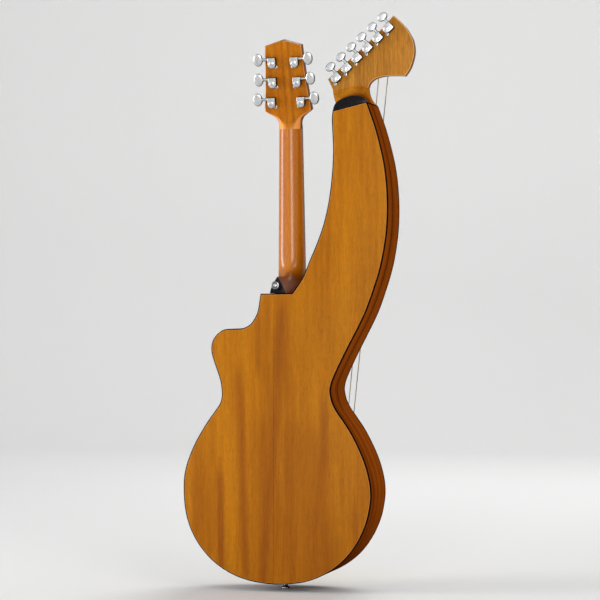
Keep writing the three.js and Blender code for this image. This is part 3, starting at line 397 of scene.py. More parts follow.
def band(start, count, step):
    """The faces between a closed ring of points and the next one, a step of points further on."""
    faces = []
    for i in range(count):
        a, b = start + i, start + (i + 1) % count
        faces.append((a, b, b + step, a + step))
    return faces


def slab(loops, low, high, edge=0.0, steps=3, low_edge=None):
    """A flat piece. Its outlines are in X and Z, the outside first, and low(z) and high(z) are its faces."""
    low_edge = edge if low_edge is None else low_edge
    turns = [QUARTER * k / steps for k in range(steps + 1)]
    rings = [(low_edge * (1 - math.sin(a)), low, low_edge * (1 - math.cos(a))) for a in turns]
    rings += [(edge * (1 - math.sin(a)), high, -edge * (1 - math.cos(a))) for a in reversed(turns)]
    if not low_edge:
        rings = rings[steps:]
    if not edge:
        rings = rings[:-steps]
    loops = [loops[0]] + [hole[::-1] for hole in loops[1:]]
    points = []
    for distance, face, shift in rings:
        for loop in loops:
            points += [(x, face(z) + shift, z) for x, z in inset(loop, distance)]
    count = sum(len(loop) for loop in loops)
    faces = []
    for ring in range(len(rings) - 1):
        start = ring * count
        for loop in loops:
            faces += band(start, len(loop), count)
            start += len(loop)
    flat = len(faces)
    for first in (0, (len(rings) - 1) * count):
        start, caps = first, []
        for loop in loops:
            caps.append([Vector((x, z, 0)) for x, _, z in points[start:start + len(loop)]])
            start += len(loop)
        faces += [tuple(first + i for i in face) for face in tessellate_polygon(caps)]
    return Solid(points, faces, range(flat, len(faces)))


def loft(rings):
    """A skin over rings of points, closed by a flat face at each end."""
    count, last = len(rings[0]), len(rings) - 1
    faces = [face for ring in range(last) for face in band(ring * count, count, count)]
    flat = (len(faces), len(faces) + 1)
    faces += [tuple(range(count)), tuple(range(last * count, (last + 1) * count))]
    return Solid(np.concatenate([np.asarray(ring, float) for ring in rings]), faces, flat)


def turned(profile, steps=32, base=0.0):
    """A turned piece whose axis is Z. The profile is a list of (radius, height above the base)."""
    points, faces, rows = [], [], []
    for radius, height in profile:
        rows.append([len(points) + (i if radius > 0 else 0) for i in range(steps)])
        for angle in [2 * math.pi * i / steps for i in range(steps if radius > 0 else 1)]:
            points.append((radius * math.cos(angle), radius * math.sin(angle), base + height))
    for low, high in zip(rows, rows[1:]):
        for i in range(steps):
            j = (i + 1) % steps
            faces.append(tuple(dict.fromkeys((low[i], low[j], high[j], high[i]))))
    faces += [tuple(rows[end]) for end in (0, -1) if profile[end][0] > 0]
    return Solid(points, faces)


def tube(path, radius, sides=STRING_SIDES):
    """A round bar along a path."""
    path = [Vector(point) for point in path]
    side = None
    rings = []
    for i, point in enumerate(path):
        before = (point - path[i - 1]).normalized() if i > 0 else None
        after = (path[i + 1] - point).normalized() if i < len(path) - 1 else None
        along = (before + after).normalized() if before and after else before or after
        if side is None:
            side = along.orthogonal().normalized()
        side = (side - along * side.dot(along)).normalized()
        other = along.cross(side)
        angles = [2 * math.pi * k / sides for k in range(sides)]
        rings.append([point + (side * math.cos(a) + other * math.sin(a)) * radius for a in angles])
    return loft(rings)


def bar(low_x, high_x, profile):
    """A bar along X with eased ends. The profile is a closed list of (Y, Z)."""
    section = np.array(profile, float)
    middle = section.mean(axis=0)
    half = np.abs(section - middle).max(axis=0)
    rings = []
    for x, ease_in in ((low_x, BAR_EDGE), (low_x + BAR_EDGE, 0), (high_x - BAR_EDGE, 0), (high_x, BAR_EDGE)):
        eased = middle + (section - middle) * (1 - ease_in / half)
        rings.append([(x, y, z) for y, z in eased])
    return loft(rings)


def placing(across, behind, along, origin):
    """The matrix that lays X, Y and Z along three directions from a place."""
    matrix = Matrix((across, behind, along)).transposed().to_4x4()
    matrix.translation = origin
    return matrix


def added(name, data):
    """A new object in the scene."""
    made = bpy.data.objects.new(name, data)
    bpy.context.scene.collection.objects.link(made)
    return made


def show(name, solid, look, body="body", replaces=(), grain=None, second=None):
    """Makes a piece from a solid, in its material, riding on a body.

    Grain gives each point's wood coordinates. Second is another material and the first face that has it.
    """
    mesh = bpy.data.meshes.new(name)
    mesh.from_pydata([tuple(point) for point in solid.points * MM], [], solid.faces)
    mesh.polygons.foreach_set("use_smooth", [i not in solid.flat for i in range(len(solid.faces))])
    work = bmesh.new()
    work.from_mesh(mesh)
    bmesh.ops.recalc_face_normals(work, faces=work.faces)
    work.to_mesh(mesh)
    work.free()
    mesh.set_sharp_from_angle(angle=SHADING_CORNER)
    coordinates = solid.points if grain is None else grain
    attribute = mesh.attributes.new("grain", "FLOAT_VECTOR", "POINT")
    attribute.data.foreach_set("vector", (np.asarray(coordinates) * MM).astype(np.float32).ravel())
    piece = added(name, mesh)
    mesh.materials.append(looks[look])
    if second is not None:
        mesh.materials.append(looks[second[0]])
        for face in mesh.polygons[second[1]:]:
            face.material_index = 1
    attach(piece, body)
    if replaces:
        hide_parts(*replaces)
    return piece


# Materials

# Wood figure: scales in turns per metre across, through and along the grain, and how much each counts
DRIFT, DRIFT_REACH_M = (5, 5, 3.2), 0.014
BANDS, BAND_SHARE = (46, 46, 1.1), 0.55
BROAD, BROAD_SHARE = (9, 9, 2.4), 0.45
FIBRES, FIBRE_SHARE = (820, 820, 14), 0.35
RIBBON, RIBBON_SHARE = (130, 130, 7), 0.25
FLECKS, FLECK_SHARE = (420, 420, 42), 0.4
PORES, PORES_FROM_TO = (2100, 2100, 95), (0.62, 0.72)
STREAKS, STREAKS_FROM_TO = (30, 30, 0.7), (0.56, 0.74)
DEEP_FROM_TO = (0.34, 0.66)
FINE_FROM_TO = (0.3, 0.7)
FINE_DARKENS, FINE_LIGHTENS = 0.24, 0.22
STREAK_START_M, STREAK_FADE_M = 0.04, 0.07
SEAM_HALF_WIDTH_M, SEAM_SHARE = 0.0004, 0.75
SHADE_DARKNESS = 0.5
# How far a normal points behind a head, where the painted highlight on its rounded edge starts and ends and
# where the painted shade on its side starts
PAINTED_HIGHLIGHT_STARTS, PAINTED_HIGHLIGHT_ENDS, PAINTED_SHADE_STARTS = (0.99, 0.88), (0.42, 0.65), (0.6, 0.3)
PAINTED_HIGHLIGHT_SHARE = PAINTED_SHADE_SHARE = 0.85
# and where the painted shade on a metal's walls starts
METAL_PAINTED_SHADE_STARTS = (0.86, 0.6)


class Graph:
    """The node tree of a material or world, with short calls for the nodes that finishes are made of."""

    def __init__(self, owner):
        owner.use_nodes = True
        self.owner = owner
        self.tree = owner.node_tree

    def node(self, kind, inputs=(), **settings):
        made = self.tree.nodes.new(kind)
        for key, value in settings.items():
            setattr(made, key, value)
        for key, value in dict(inputs).items():
            self.set(made.inputs[key], value)
        return made

    def set(self, socket, value):
        if isinstance(value, bpy.types.NodeSocket):
            self.tree.links.new(value, socket)
        else:
            socket.default_value = value

    def math(self, operation, *values):
        made = self.node("ShaderNodeMath", operation=operation)
        for socket, value in zip(made.inputs, values):
            self.set(socket, value)
        return made.outputs[0]

    def times(self, first, second):
        return self.math("MULTIPLY", first, second)

    def plus(self, first, second):
        return self.math("ADD", first, second)

    def minus(self, first, second):
        return self.math("SUBTRACT", first, second)

    def grain(self):
        """A piece's own wood coordinates, in metres."""
        return self.node("ShaderNodeAttribute", attribute_name="grain").outputs["Vector"]

    def facing(self, way):
        """How far the surface points a way or the opposite way, from 0 to 1."""
        normal = self.node("ShaderNodeTexCoord").outputs["Normal"]
        made = self.node("ShaderNodeVectorMath", {0: normal, 1: tuple(way)}, operation="DOT_PRODUCT")
        return self.math("ABSOLUTE", made.outputs["Value"])

    def stretched(self, vector, scale):
        made = self.node("ShaderNodeVectorMath", {0: vector, 1: scale}, operation="MULTIPLY")
        return made.outputs[0]

    def noise(self, vector, scale, detail=2.0, roughness=0.5, distortion=0.0):
        """Noise with its own scale for each axis, in turns per metre."""
        made = self.node("ShaderNodeTexNoise", {
            "Vector": self.stretched(vector, scale), "Scale": 1.0, "Detail": detail, "Roughness": roughness,
            "Distortion": distortion,
        })
        return made.outputs["Fac"]

    def mapped(self, value, from_low, from_high, to_low, to_high, **settings):
        made = self.node("ShaderNodeMapRange", {
            "Value": value, "From Min": from_low, "From Max": from_high, "To Min": to_low, "To Max": to_high,
        }, **settings)
        return made.outputs["Result"]

    def ramp(self, value, low, high):
        """0 below low, 1 above high and smooth between."""
        return self.mapped(value, low, high, 0.0, 1.0, interpolation_type="SMOOTHSTEP")

    def blend(self, share, first, second):
        made = self.node("ShaderNodeMix", data_type="RGBA")
        self.set(made.inputs[0], share)
        self.set(made.inputs[6], first)
        self.set(made.inputs[7], second)
        return made.outputs[2]

    def sides(self, base, behind, side, edge):
        """A head's colours, with painted shade on its sides and a painted highlight along its rounded edges.
        """
        facing = self.facing(behind)
        # Painted highlight: the rounded edges turn paler
        rounded = self.times(self.ramp(facing, *PAINTED_HIGHLIGHT_STARTS), self.ramp(facing, *PAINTED_HIGHLIGHT_ENDS))
        base = self.blend(self.times(rounded, PAINTED_HIGHLIGHT_SHARE), base, scaled(edge, 1.5, 0.1))
        # Painted shade: the sides, turned away from the back, turn darker
        wall = self.ramp(facing, *PAINTED_SHADE_STARTS)
        return self.blend(self.times(wall, PAINTED_SHADE_SHARE), base, scaled(side, 0.4))

    def bump(self, height, strength, distance):
        made = self.node("ShaderNodeBump", {"Height": height, "Strength": strength, "Distance": distance})
        return made.outputs["Normal"]

    def varied(self, amount, low, high, tint, share, lift=0.0):
        """A colour that turns into a darker or lighter one as the amount goes from low to high."""
        return self.blend(self.ramp(amount, low, high), colour(*tint), scaled(colour(*tint), share, lift))

    def seen_rays(self):
        """1 for the rays that show the background: from the camera, off gloss and through glass."""
        rays = self.node("ShaderNodeLightPath").outputs
        seen = self.math("MAXIMUM", rays["Is Camera Ray"], rays["Is Glossy Ray"])
        return self.math("MAXIMUM", seen, rays["Is Transmission Ray"])

    def finish(self, **inputs):
        shader = self.tree.nodes["Principled BSDF"]
        for key, value in inputs.items():
            self.set(shader.inputs[key.replace("_", " ")], value)
        return self.owner


def new_material(name):
    return Graph(bpy.data.materials.new(name))


def colour(red, green, blue):
    """A colour written as 0 to 255, as the shader wants it."""
    shares = [channel / 255 for channel in (red, green, blue)]
    return tuple(s / 12.92 if s <= 0.04045 else ((s + 0.055) / 1.055) ** 2.4 for s in shares) + (1.0,)


def scaled(tint, share, lift=0.0):
    """A darker or lighter colour."""
    return tuple(min(1.0, channel * share + lift) for channel in tint[:3]) + (1.0,)


def wood(name, tones, roughness, coat=0.0, coat_roughness=0.12, specular=0.5, streak_share=0.5,
         pore_share=0.6, contrast=1.0, streaks=(), seam=None, shades=(), dulling=1.3, behind=None,
         carried=False):
    """Straight-grained wood: broad bands, fine fibres, short dark pores and a few darker streaks.

    Tones are the pale, deep, streak and pore colours. Streaks are tables like the ones below. Shades are
    (axis, from, to, share) of painted shade, full at to, that is duller by its share times dulling.
    Behind is the way that a head's back faces: its sides get painted shade and its rounded edges a
    painted highlight. Carried wood is on a CAD node, which has no wood coordinates of its own.
    """
    graph = new_material(name)
    pale, deep, streak, pore = (colour(*tone) for tone in tones)
    vector = graph.node("ShaderNodeTexCoord").outputs["Object"] if carried else graph.grain()
    place = graph.node("ShaderNodeSeparateXYZ", {0: vector}).outputs
    up = place[2]
    drift = graph.noise(vector, DRIFT, detail=1.0)
    across = graph.plus(place[0], graph.times(graph.minus(drift, 0.5), DRIFT_REACH_M))
    bent = graph.node("ShaderNodeCombineXYZ", {0: across, 1: place[1], 2: up}).outputs[0]
    bands = graph.times(graph.noise(bent, BANDS, detail=3.0, roughness=0.6), BAND_SHARE)
    broad = graph.times(graph.noise(bent, BROAD), BROAD_SHARE)
    base = graph.blend(graph.ramp(graph.plus(bands, broad), *DEEP_FROM_TO), pale, deep)
    dark = graph.times(graph.ramp(graph.noise(bent, STREAKS), *STREAKS_FROM_TO), streak_share)
    for middle, lean, width, strength, low, high in streaks:
        line = graph.math("MULTIPLY_ADD", up, lean, middle)
        away = graph.math("DIVIDE", graph.minus(across, line), width)
        single = graph.math("EXPONENT", graph.times(graph.times(away, away), -1.0))
        start = graph.ramp(up, low, low + STREAK_START_M)
        ends = graph.times(start, graph.ramp(up, high, high - STREAK_FADE_M))
        dark = graph.math("MAXIMUM", dark, graph.times(graph.times(single, ends), strength))
    base = graph.blend(dark, base, streak)
    fibres = graph.noise(bent, FIBRES, detail=3.0, roughness=0.65)
    ribbon = graph.times(graph.noise(bent, RIBBON), RIBBON_SHARE)
    flecks = graph.times(graph.noise(bent, FLECKS, roughness=0.6), FLECK_SHARE)
    fine = graph.plus(graph.plus(graph.times(fibres, FIBRE_SHARE), ribbon), flecks)
    value = graph.mapped(fine, *FINE_FROM_TO, 1 - FINE_DARKENS * contrast, 1 + FINE_LIGHTENS * contrast)
    base = graph.node("ShaderNodeHueSaturation", {"Color": base, "Value": value}).outputs["Color"]
    pores = graph.ramp(graph.noise(bent, PORES, detail=1.0), *PORES_FROM_TO)
    base = graph.blend(graph.times(pores, pore_share), base, pore)
    if seam is not None:
        off = graph.math("ABSOLUTE", graph.minus(place[0], seam))
        line = graph.math("LESS_THAN", off, SEAM_HALF_WIDTH_M)
        base = graph.blend(graph.times(line, SEAM_SHARE), base, pore)
    # Painted shade: darker towards a place, with less coat there
    for axis, start, full, share in shades:
        shade = graph.times(graph.ramp(place[axis], start, full), share)
        base = graph.blend(shade, base, scaled(streak, SHADE_DARKNESS))
        if coat:
            coat = graph.times(graph.math("MULTIPLY_ADD", shade, -dulling, 1.0), coat)
    # Painted shade on a head's sides and a painted highlight along its rounded edges
    if behind is not None:
        base = graph.sides(base, behind, streak, pale)
    height = graph.minus(fibres, graph.times(pores, 0.8))
    rough = graph.plus(roughness, graph.times(graph.minus(fine, 0.5), 0.25))
    normal = graph.bump(height, 0.25, 0.00006)
    return graph.finish(Base_Color=base, Roughness=rough, Normal=normal, Coat_Weight=coat,
                        Coat_Roughness=coat_roughness, Specular_IOR_Level=specular)


def dark_gloss(name, tint, roughness, coat, specular=0.5):
    """A smooth dark finish with a trace of fibre in it and light wear."""
    graph = new_material(name)
    vector = graph.grain()
    fibre = graph.noise(vector, (700, 700, 25))
    haze = graph.noise(vector, (60, 60, 60), detail=3.0)
    base = graph.varied(fibre, 0.42, 0.75, tint, 2.4, 0.004)
    rough = graph.plus(roughness, graph.times(haze, 0.1))
    return graph.finish(Base_Color=base, Roughness=rough, Normal=graph.bump(fibre, 0.12, 0.00004),
                        Coat_Weight=coat, Coat_Roughness=0.06, Specular_IOR_Level=specular)


def metal(name, tint, roughness, scratches=0.3, sides=None):
    """Plated or drawn metal, with polishing lines and handling haze. Sides is the painted shade on its
    walls.
    """
    graph = new_material(name)
    vector = graph.grain()
    haze = graph.noise(vector, (90, 90, 90), detail=3.0)
    lines = graph.noise(vector, (300, 4000, 300))
    rough = graph.plus(roughness, graph.times(graph.ramp(haze, 0.45, 0.8), 0.06))
    base = graph.varied(haze, 0.4, 0.7, tint, 0.86)
    if sides is not None:
        # Painted shade and dark reflection: walls turned away from the back take the sides colour
        base = graph.blend(graph.ramp(graph.facing(BACKWARDS), *METAL_PAINTED_SHADE_STARTS), base, colour(*sides))
    return graph.finish(Base_Color=base, Metallic=1.0, Roughness=rough,
                        Normal=graph.bump(lines, scratches, 0.00001))


def wound(name, tint):
    """Bronze wire wound tightly round a string."""
    graph = new_material(name)
    vector = graph.grain()
    turns = graph.node("ShaderNodeTexWave", {
        "Vector": graph.stretched(vector, (0, 0, 1)), "Scale": 900.0, "Distortion": 0.4, "Detail": 1.0,
    }, wave_type="BANDS", bands_direction="Z").outputs["Fac"]
    dull = graph.noise(vector, (60, 60, 20))
    base = graph.varied(dull, 0.4, 0.7, tint, 0.55)
    return graph.finish(Base_Color=base, Metallic=1.0, Roughness=0.32, Normal=graph.bump(turns, 0.6, 0.0001))


def cloudy(name, tint, roughness, swirl):
    """Bone or shell: pale, faintly cloudy and polished."""
    graph = new_material(name)
    vector = graph.grain()
    cloud = graph.noise(vector, (160, 160, 160), detail=4.0, distortion=swirl)
    fine = graph.noise(vector, (900, 900, 900))
    base = graph.varied(cloud, 0.35, 0.7, tint, 0.78)
    return graph.finish(Base_Color=base, Roughness=roughness, Normal=graph.bump(fine, 0.1, 0.00003),
                        Subsurface_Weight=0.08)


def felt(name, tint):
    graph = new_material(name)
    hair = graph.noise(graph.grain(), (1600, 1600, 1600), detail=4.0, roughness=0.8)
    base = graph.varied(hair, 0.4, 0.7, tint, 2.2)
    return graph.finish(Base_Color=base, Roughness=0.95, Normal=graph.bump(hair, 0.8, 0.0003))


# Single streaks, in metres: distance from the centreline at the tail, lean, width, strength, lowest end and
# highest end. A rim's distance is from front to back, and its ends are along it.
BACK_STREAKS = (
    (0.055, 0.05, 0.009, 0.55, 0.0, 0.44), (0.104, 0.02, 0.007, 0.55, 0.0, 0.26),
    (0.026, -0.07, 0.012, 0.55, -0.05, 0.56), (-0.065, -0.079, 0.009, 0.4, -0.02, 0.38),
    (-0.057, 0.0, 0.005, 0.3, 0.12, 0.33), (-0.125, 0.0, 0.006, 0.25, 0.12, 0.31),
    (0.035, 0.0, 0.007, 0.35, 0.38, 0.56), (-0.014, 0.0, 0.006, 0.35, -0.05, 0.2),
    (0.150, 0.0, 0.008, 0.25, 0.08, 0.24), (-0.150, 0.0, 0.008, 0.3, 0.04, 0.2),
    # The last, wide one is painted shade over the lower middle of the back, not a streak in the wood
    (-0.045, 0.0, 0.09, 0.28, -0.3, 0.34),
)
RIM_STREAKS = (
    (-0.006, 0.0, 0.006, 0.85, 0.42, 1.2), (0.016, -0.02, 0.004, 0.5, 0.3, 1.0),
    (-0.03, 0.01, 0.004, 0.4, 0.2, 0.9), (0.03, 0.0, 0.006, 0.5, 0.1, 0.5),
    (0.0, 0.0, 0.012, 0.35, 0.1, 0.5),
)
NECK_HEAD_STREAKS = (
    (0.003, 0.0, 0.0026, 0.45, 0.8, 1.2), (-0.0095, 0.0, 0.0034, 0.5, 0.8, 1.2),
    (0.016, 0.0, 0.0015, 0.3, 0.8, 1.2),
)
BACK_SEAM_M = 0.0062
# Painted shade by place, in metres: the axis, where it starts, where it is full and how dark it is
BACK_SHADE = (2, 0.82, 0.5, 0.1)
TAIL_SHADE = (2, 0.27, 0.07, 0.85)
HEEL_SHADE = (2, 0.598, 0.57, 0.74)
ARM_HEEL_SHADE = (1, -0.036, 0.006, 0.8)

RED_BROWN = (128, 58, 8)
PORE = (104, 52, 6)
NECK_PORE = (104, 50, 6)
# Where a look has behind, its sides get painted shade and its rounded edges a painted highlight
looks = {
    # Shades are painted shade: lower on the back, towards the tail on the rims, near the neck's heel and
    # above the arm's cap
    "mahogany": wood("back_mahogany", ((190, 118, 8), (162, 92, 2), RED_BROWN, PORE), 0.46, specular=0.1,
                     streak_share=0.25, streaks=BACK_STREAKS, seam=BACK_SEAM_M, shades=[BACK_SHADE],
                     behind=BACKWARDS),
    "head_mahogany": wood("head_mahogany", ((200, 138, 48), (172, 110, 30), RED_BROWN, PORE), 0.44,
                          specular=0.12, streak_share=0.3, contrast=2.2, behind=BACKWARDS),
    "heel_mahogany": wood("heel_mahogany", ((204, 134, 38), (176, 106, 24), (150, 52, 6), PORE), 0.44,
                          specular=0.0, streak_share=0.3, contrast=1.6, shades=[ARM_HEEL_SHADE]),
    "dark_mahogany": wood("rim_mahogany", ((160, 78, 16), (128, 58, 8), (80, 32, 6), (64, 26, 4)), 0.5,
                          specular=0.0, streaks=RIM_STREAKS, shades=[TAIL_SHADE]),
    "neck_mahogany": wood("neck_mahogany", ((204, 120, 6), (174, 92, 2), (140, 52, 4), NECK_PORE), 0.34,
                          coat=0.85, coat_roughness=0.2, specular=0.04, streak_share=0.3,
                          shades=[HEEL_SHADE], dulling=1.15),
    "neck_head_mahogany": wood("neck_head_mahogany",
                               ((204, 126, 10), (178, 98, 4), (128, 58, 6), NECK_PORE), 0.42, specular=0.1,
                               streak_share=0.45, streaks=NECK_HEAD_STREAKS,
                               behind=joint_axis("neck_post_1_turn")),
    "spruce": wood("top_spruce", ((226, 192, 132), (206, 166, 104), (184, 138, 80), (190, 146, 88)), 0.4,
                   coat=0.5, streak_share=0.3, pore_share=0.25),
    "brace_spruce": wood("brace_spruce", ((216, 186, 134), (196, 160, 106), (170, 130, 80), (180, 140, 90)),
                         0.7, pore_share=0.3, carried=True),
    "inner_wood": wood("block_wood", ((190, 150, 98), (164, 122, 76), (130, 88, 50), (110, 72, 40)), 0.75,
                       carried=True),
    "rosewood": wood("rosewood", ((78, 46, 30), (48, 28, 20), (28, 16, 12), (20, 12, 8)), 0.4, coat=0.4,
                     streak_share=0.8),
    "ebony": dark_gloss("fretboard_ebony", (26, 21, 19), 0.42, 0.1),
    "gloss_black": dark_gloss("black_lacquer", (5, 5, 6), 0.2, 0.08, 0.1),
    "binding": dark_gloss("black_binding", (12, 6, 4), 0.3, 0.0, 0.0),
    # A metal's last colour is the painted shade on its walls
    "chrome": metal("chrome", (206, 206, 207), 0.26, 0.03, (8, 8, 10)),
    # Heel strap pin: the same chrome, painted darker all over as a dark reflection
    "painted_dark_chrome": metal("strap_chrome_painted_dark", (128, 128, 134), 0.1, 0.1, (40, 40, 44)),
    "nickel": metal("fret_wire", (196, 192, 184), 0.22),
    "plain_steel": metal("plain_string", (205, 205, 205), 0.2),
    "bronze_wire": wound("wound_string", (176, 158, 136)),
    "bone": cloudy("bone", (233, 226, 207), 0.32, 0.4),
    "shell": cloudy("shell", (222, 226, 220), 0.18, 2.5),
    "felt": felt("strap_felt", (22, 22, 23)),
}

# Sound box, with its faces read from the frame

back_loop = face_loops("back_plate", BACKWARDS)[0]
BACK_SLOPE, BACK_AT_ZERO = np.polyfit(back_loop[:, 2], back_loop[:, 1], 1)
top_loops = face_loops("soundboard", FRONTWARDS)
top_outline = smoothed(flattened(top_loops[0]))
SOUNDHOLE_LOOP = top_loops[1][:, [0, 2]]
SOUNDHOLE = SOUNDHOLE_LOOP.mean(axis=0)
SOUNDHOLE_RADIUS = np.ptp(SOUNDHOLE_LOOP[:, 0]) / 2
string_holes = sorted((loop[:, [0, 2]].mean(axis=0) for loop in top_loops[2:]), key=lambda hole: -hole[0])
FRONT = span("soundboard")[0].y
PLATE = span("soundboard")[1].y - FRONT
BINDING_DEPTH = span("top_binding")[1].y - FRONT


def back(z):
    return BACK_AT_ZERO + BACK_SLOPE * z


def shifted(face, distance):
    return lambda z: face(z) + distance


def flat_at(y):
    return lambda z: y


front = flat_at(FRONT)
cap_seat = shifted(back, -CAP_THICKNESS)


def inlay(name, outer, inner, look):
    show(name, slab([outer, inner], shifted(front, -INLAY_PROUD), shifted(front, INLAY_PROUD)), look)


def add_plates():
    hole = circle(SOUNDHOLE, SOUNDHOLE_RADIUS)
    top = slab([top_outline, hole], front, shifted(front, PLATE), low_edge=PLATE_EDGE)
    show("top_plate", top, "spruce", replaces=["soundboard"])
    bottom = slab([smoothed(flattened(back_loop))], shifted(back, -PLATE), back, edge=PLATE_EDGE, low_edge=0)
    show("back_panel", bottom, "mahogany", replaces=["back_plate"])
    for i, (inner, outer, look) in enumerate(ROSETTE_RINGS):
        inlay(f"rosette_ring_{i + 1}", circle(SOUNDHOLE, SOUNDHOLE_RADIUS + outer),
              circle(SOUNDHOLE, SOUNDHOLE_RADIUS + inner), look)
    for i, (near, far, look) in enumerate(PURFLING_RINGS):
        inlay(f"purfling_{i + 1}", inset(top_outline, near), inset(top_outline, far), look)


def add_bindings():
    strip = smoothed(outline_of("top_binding", FRONTWARDS))
    top = slab([strip], front, shifted(front, BINDING_DEPTH), edge=0, low_edge=BINDING_EDGE)
    show("top_binding_strip", top, "binding", replaces=["top_binding"])
    strip = smoothed(outline_of("back_binding"))
    bottom = slab([strip], shifted(back, -BINDING_DEPTH), back, edge=BINDING_EDGE, low_edge=0)
    show("back_binding_strip", bottom, "binding", replaces=["back_binding"])


def guide_line(outline):
    """The longest run of a strip's outline between two of its square corners, from its lower end."""
    arrive, leave = turns_of(outline)[:2]
    corners = list(np.nonzero(np.einsum("ij,ij->i", arrive, leave) < STRIP_CORNER_COSINE)[0])
    runs = []
    for start, end in zip(corners, corners[1:] + [corners[0] + len(outline)]):
        runs.append(outline[np.arange(start, end + 1) % len(outline)])
    line = max(runs, key=lambda run: np.linalg.norm(np.diff(run, axis=0), axis=1).sum())
    return line if line[0, 1] < line[-1, 1] else line[::-1]


def along_line(points, line):
    """How far along a line each point in X and Z lies."""
    starts, steps = line[:-1], np.diff(line, axis=0)
    lengths = np.linalg.norm(steps, axis=1)
    reached = np.concatenate([[0], np.cumsum(lengths)[:-1]])
    shares = np.clip(np.einsum("pij,ij->pi", points[:, None] - starts, steps) / lengths**2, 0, 1)
    nearest = starts + shares[..., None] * steps
    best = np.linalg.norm(points[:, None] - nearest, axis=2).argmin(axis=1)
    return reached[best] + shares[np.arange(len(points)), best] * lengths[best]


def add_rims():
    for node in ("rim_treble", "rim_bass", "rim_arm_inner"):
        outline = smoothed(outline_of(node, FRONTWARDS))
        solid = slab([outline], shifted(front, BINDING_DEPTH), shifted(back, -BINDING_DEPTH), edge=RIM_EDGE,
                     steps=1)
        along = along_line(solid.points[:, [0, 2]], guide_line(outline))
        grain = np.stack([solid.points[:, 1], np.zeros(len(along)), along], axis=1)
        show(f"{node}_side", solid, "dark_mahogany", replaces=[node], grain=grain)


def finish_inside():
    for node, look in (("top_bracing", "brace_spruce"), ("back_bracing", "brace_spruce"),
                       ("neck_block", "inner_wood"), ("tail_block", "inner_wood")):
        slots = nodes[node].data.materials
        slots.clear()
        slots.append(looks[look])


# Neck

CAP_LOW, CAP_HIGH = span("heel_cap")
CAP_HALF, CAP_RISE = CAP_HIGH.x, CAP_HIGH.z - CAP_LOW.z
SHOULDER = CAP_LOW.z
NUT_LOW, NUT_HIGH = span("neck_nut")
BOARD_LOW_CORNER, BOARD_HIGH_CORNER = span("fretboard")
BOARD_FACE = BOARD_LOW_CORNER.y + FRET_HEIGHT
FRETBOARD_BACK = BOARD_HIGH_CORNER.y
board_outline = outline_of("fretboard")
BOARD_LOW, NUT = board_outline[:, 1].min(), board_outline[:, 1].max()
BOARD_HALVES = [board_outline[np.abs(board_outline[:, 1] - z) < CLOSE, 0].max() for z in (BOARD_LOW, NUT)]


def half_width(z):
    """Half of the fretboard's and neck's width."""
    return mix(*BOARD_HALVES, (z - BOARD_LOW) / (NUT - BOARD_LOW))


def neck_depth(z):
    return mix(NECK_DEPTH_AT_BODY, NECK_DEPTH_AT_NUT, (z - SHOULDER) / (NUT - SHOULDER))


def ring_angles():
    """Angles round the back of the neck, closer together where the head's edges form."""
    side = np.linspace(0, SIDE_TO, SIDE_COUNT)
    edge = np.linspace(SIDE_TO, EDGE_TO, EDGE_COUNT + 1)[1:]
    flat = np.linspace(EDGE_TO, QUARTER, FLAT_COUNT + 1)[1:]
    half = np.concatenate([side, edge, flat])
    return np.concatenate([half, math.pi - half[-2::-1]])


ANGLES = ring_angles()
SINES, COSINES = np.sin(ANGLES), np.cos(ANGLES)


def round_section(half, depth):
    return np.stack([half * COSINES, depth * SINES], axis=1)


def box_section(half, depth, edge):
    """A rectangle with two rounded corners, with a point for each of the ring's angles."""
    side = [(half, height) for height in np.linspace(0, depth - edge, SIDE_COUNT)]
    corner = arc((half - edge, depth - edge), edge, 0, QUARTER, EDGE_COUNT)[1:]
    flat = [(across, depth) for across in np.linspace(half - edge, 0, FLAT_COUNT + 1)[1:]]
    points = np.concatenate([side, corner, flat])
    return np.concatenate([points, points[-2::-1] * (-1, 1)])


def heel_rings():
    """Sections that fan out from the heel cap to the neck, about an axis behind the neck."""
    pivot_z = SHOULDER + HEEL_SWEEP
    pivot_y = cap_seat(pivot_z)
    reach_y = pivot_y - (FRONT + neck_depth(pivot_z))
    reach_z = HEEL_SWEEP - CAP_RISE
    ogive = np.sign(COSINES) * (1 - SINES**OGIVE_POWER)
    rings = []
    for share in np.linspace(0, 1, HEEL_STEPS + 1):
        angle = mix(math.atan2(-1, -BACK_SLOPE), -math.pi, share)
        dy, dz = math.cos(angle), math.sin(angle)
        to_front = (FRONT - pivot_y) / dy if dy < -TINY else math.inf
        to_shoulder = -HEEL_SWEEP / dz if dz < -TINY else math.inf
        end = min(to_front, to_shoulder)
        curve = (max(0, -dy) / reach_y) ** HEEL_SWEEP_POWER + (max(0, -dz) / reach_z) ** HEEL_SWEEP_POWER
        spine = curve ** (-1 / HEEL_SWEEP_POWER)
        if to_front <= to_shoulder:
            half = half_width(pivot_z + end * dz)
        else:
            depth_share = (pivot_y + end * dy - FRONT) / (cap_seat(SHOULDER) - FRONT)
            half = mix(CAP_HALF, half_width(SHOULDER), (1 - depth_share) ** 2)
        across = half * mix(COSINES, ogive, 1 - ease(share / HEEL_POINT_SHARE))
        distance = end + (spine - end) * SINES
        rings.append(np.stack([across, pivot_y + distance * dy, pivot_z + distance * dz], axis=1))
    return rings


def head_frame():
    """The head's own frame, X across, Y to its back and Z up it, and its outline there."""
    across, behind = Vector((1, 0, 0)), joint_axis("neck_post_1_turn")
    along = across.cross(behind)
    loop = face_loops("head_veneer", -behind)[0]
    lowest = loop[np.argsort(loop @ np.array(along))[:2]]
    matrix = placing(across, behind, along, Vector(lowest.mean(axis=0)))
    return matrix, smoothed(flattened(np.array([matrix.inverted() @ Vector(point) for point in loop])))


HEAD, head_outline = head_frame()


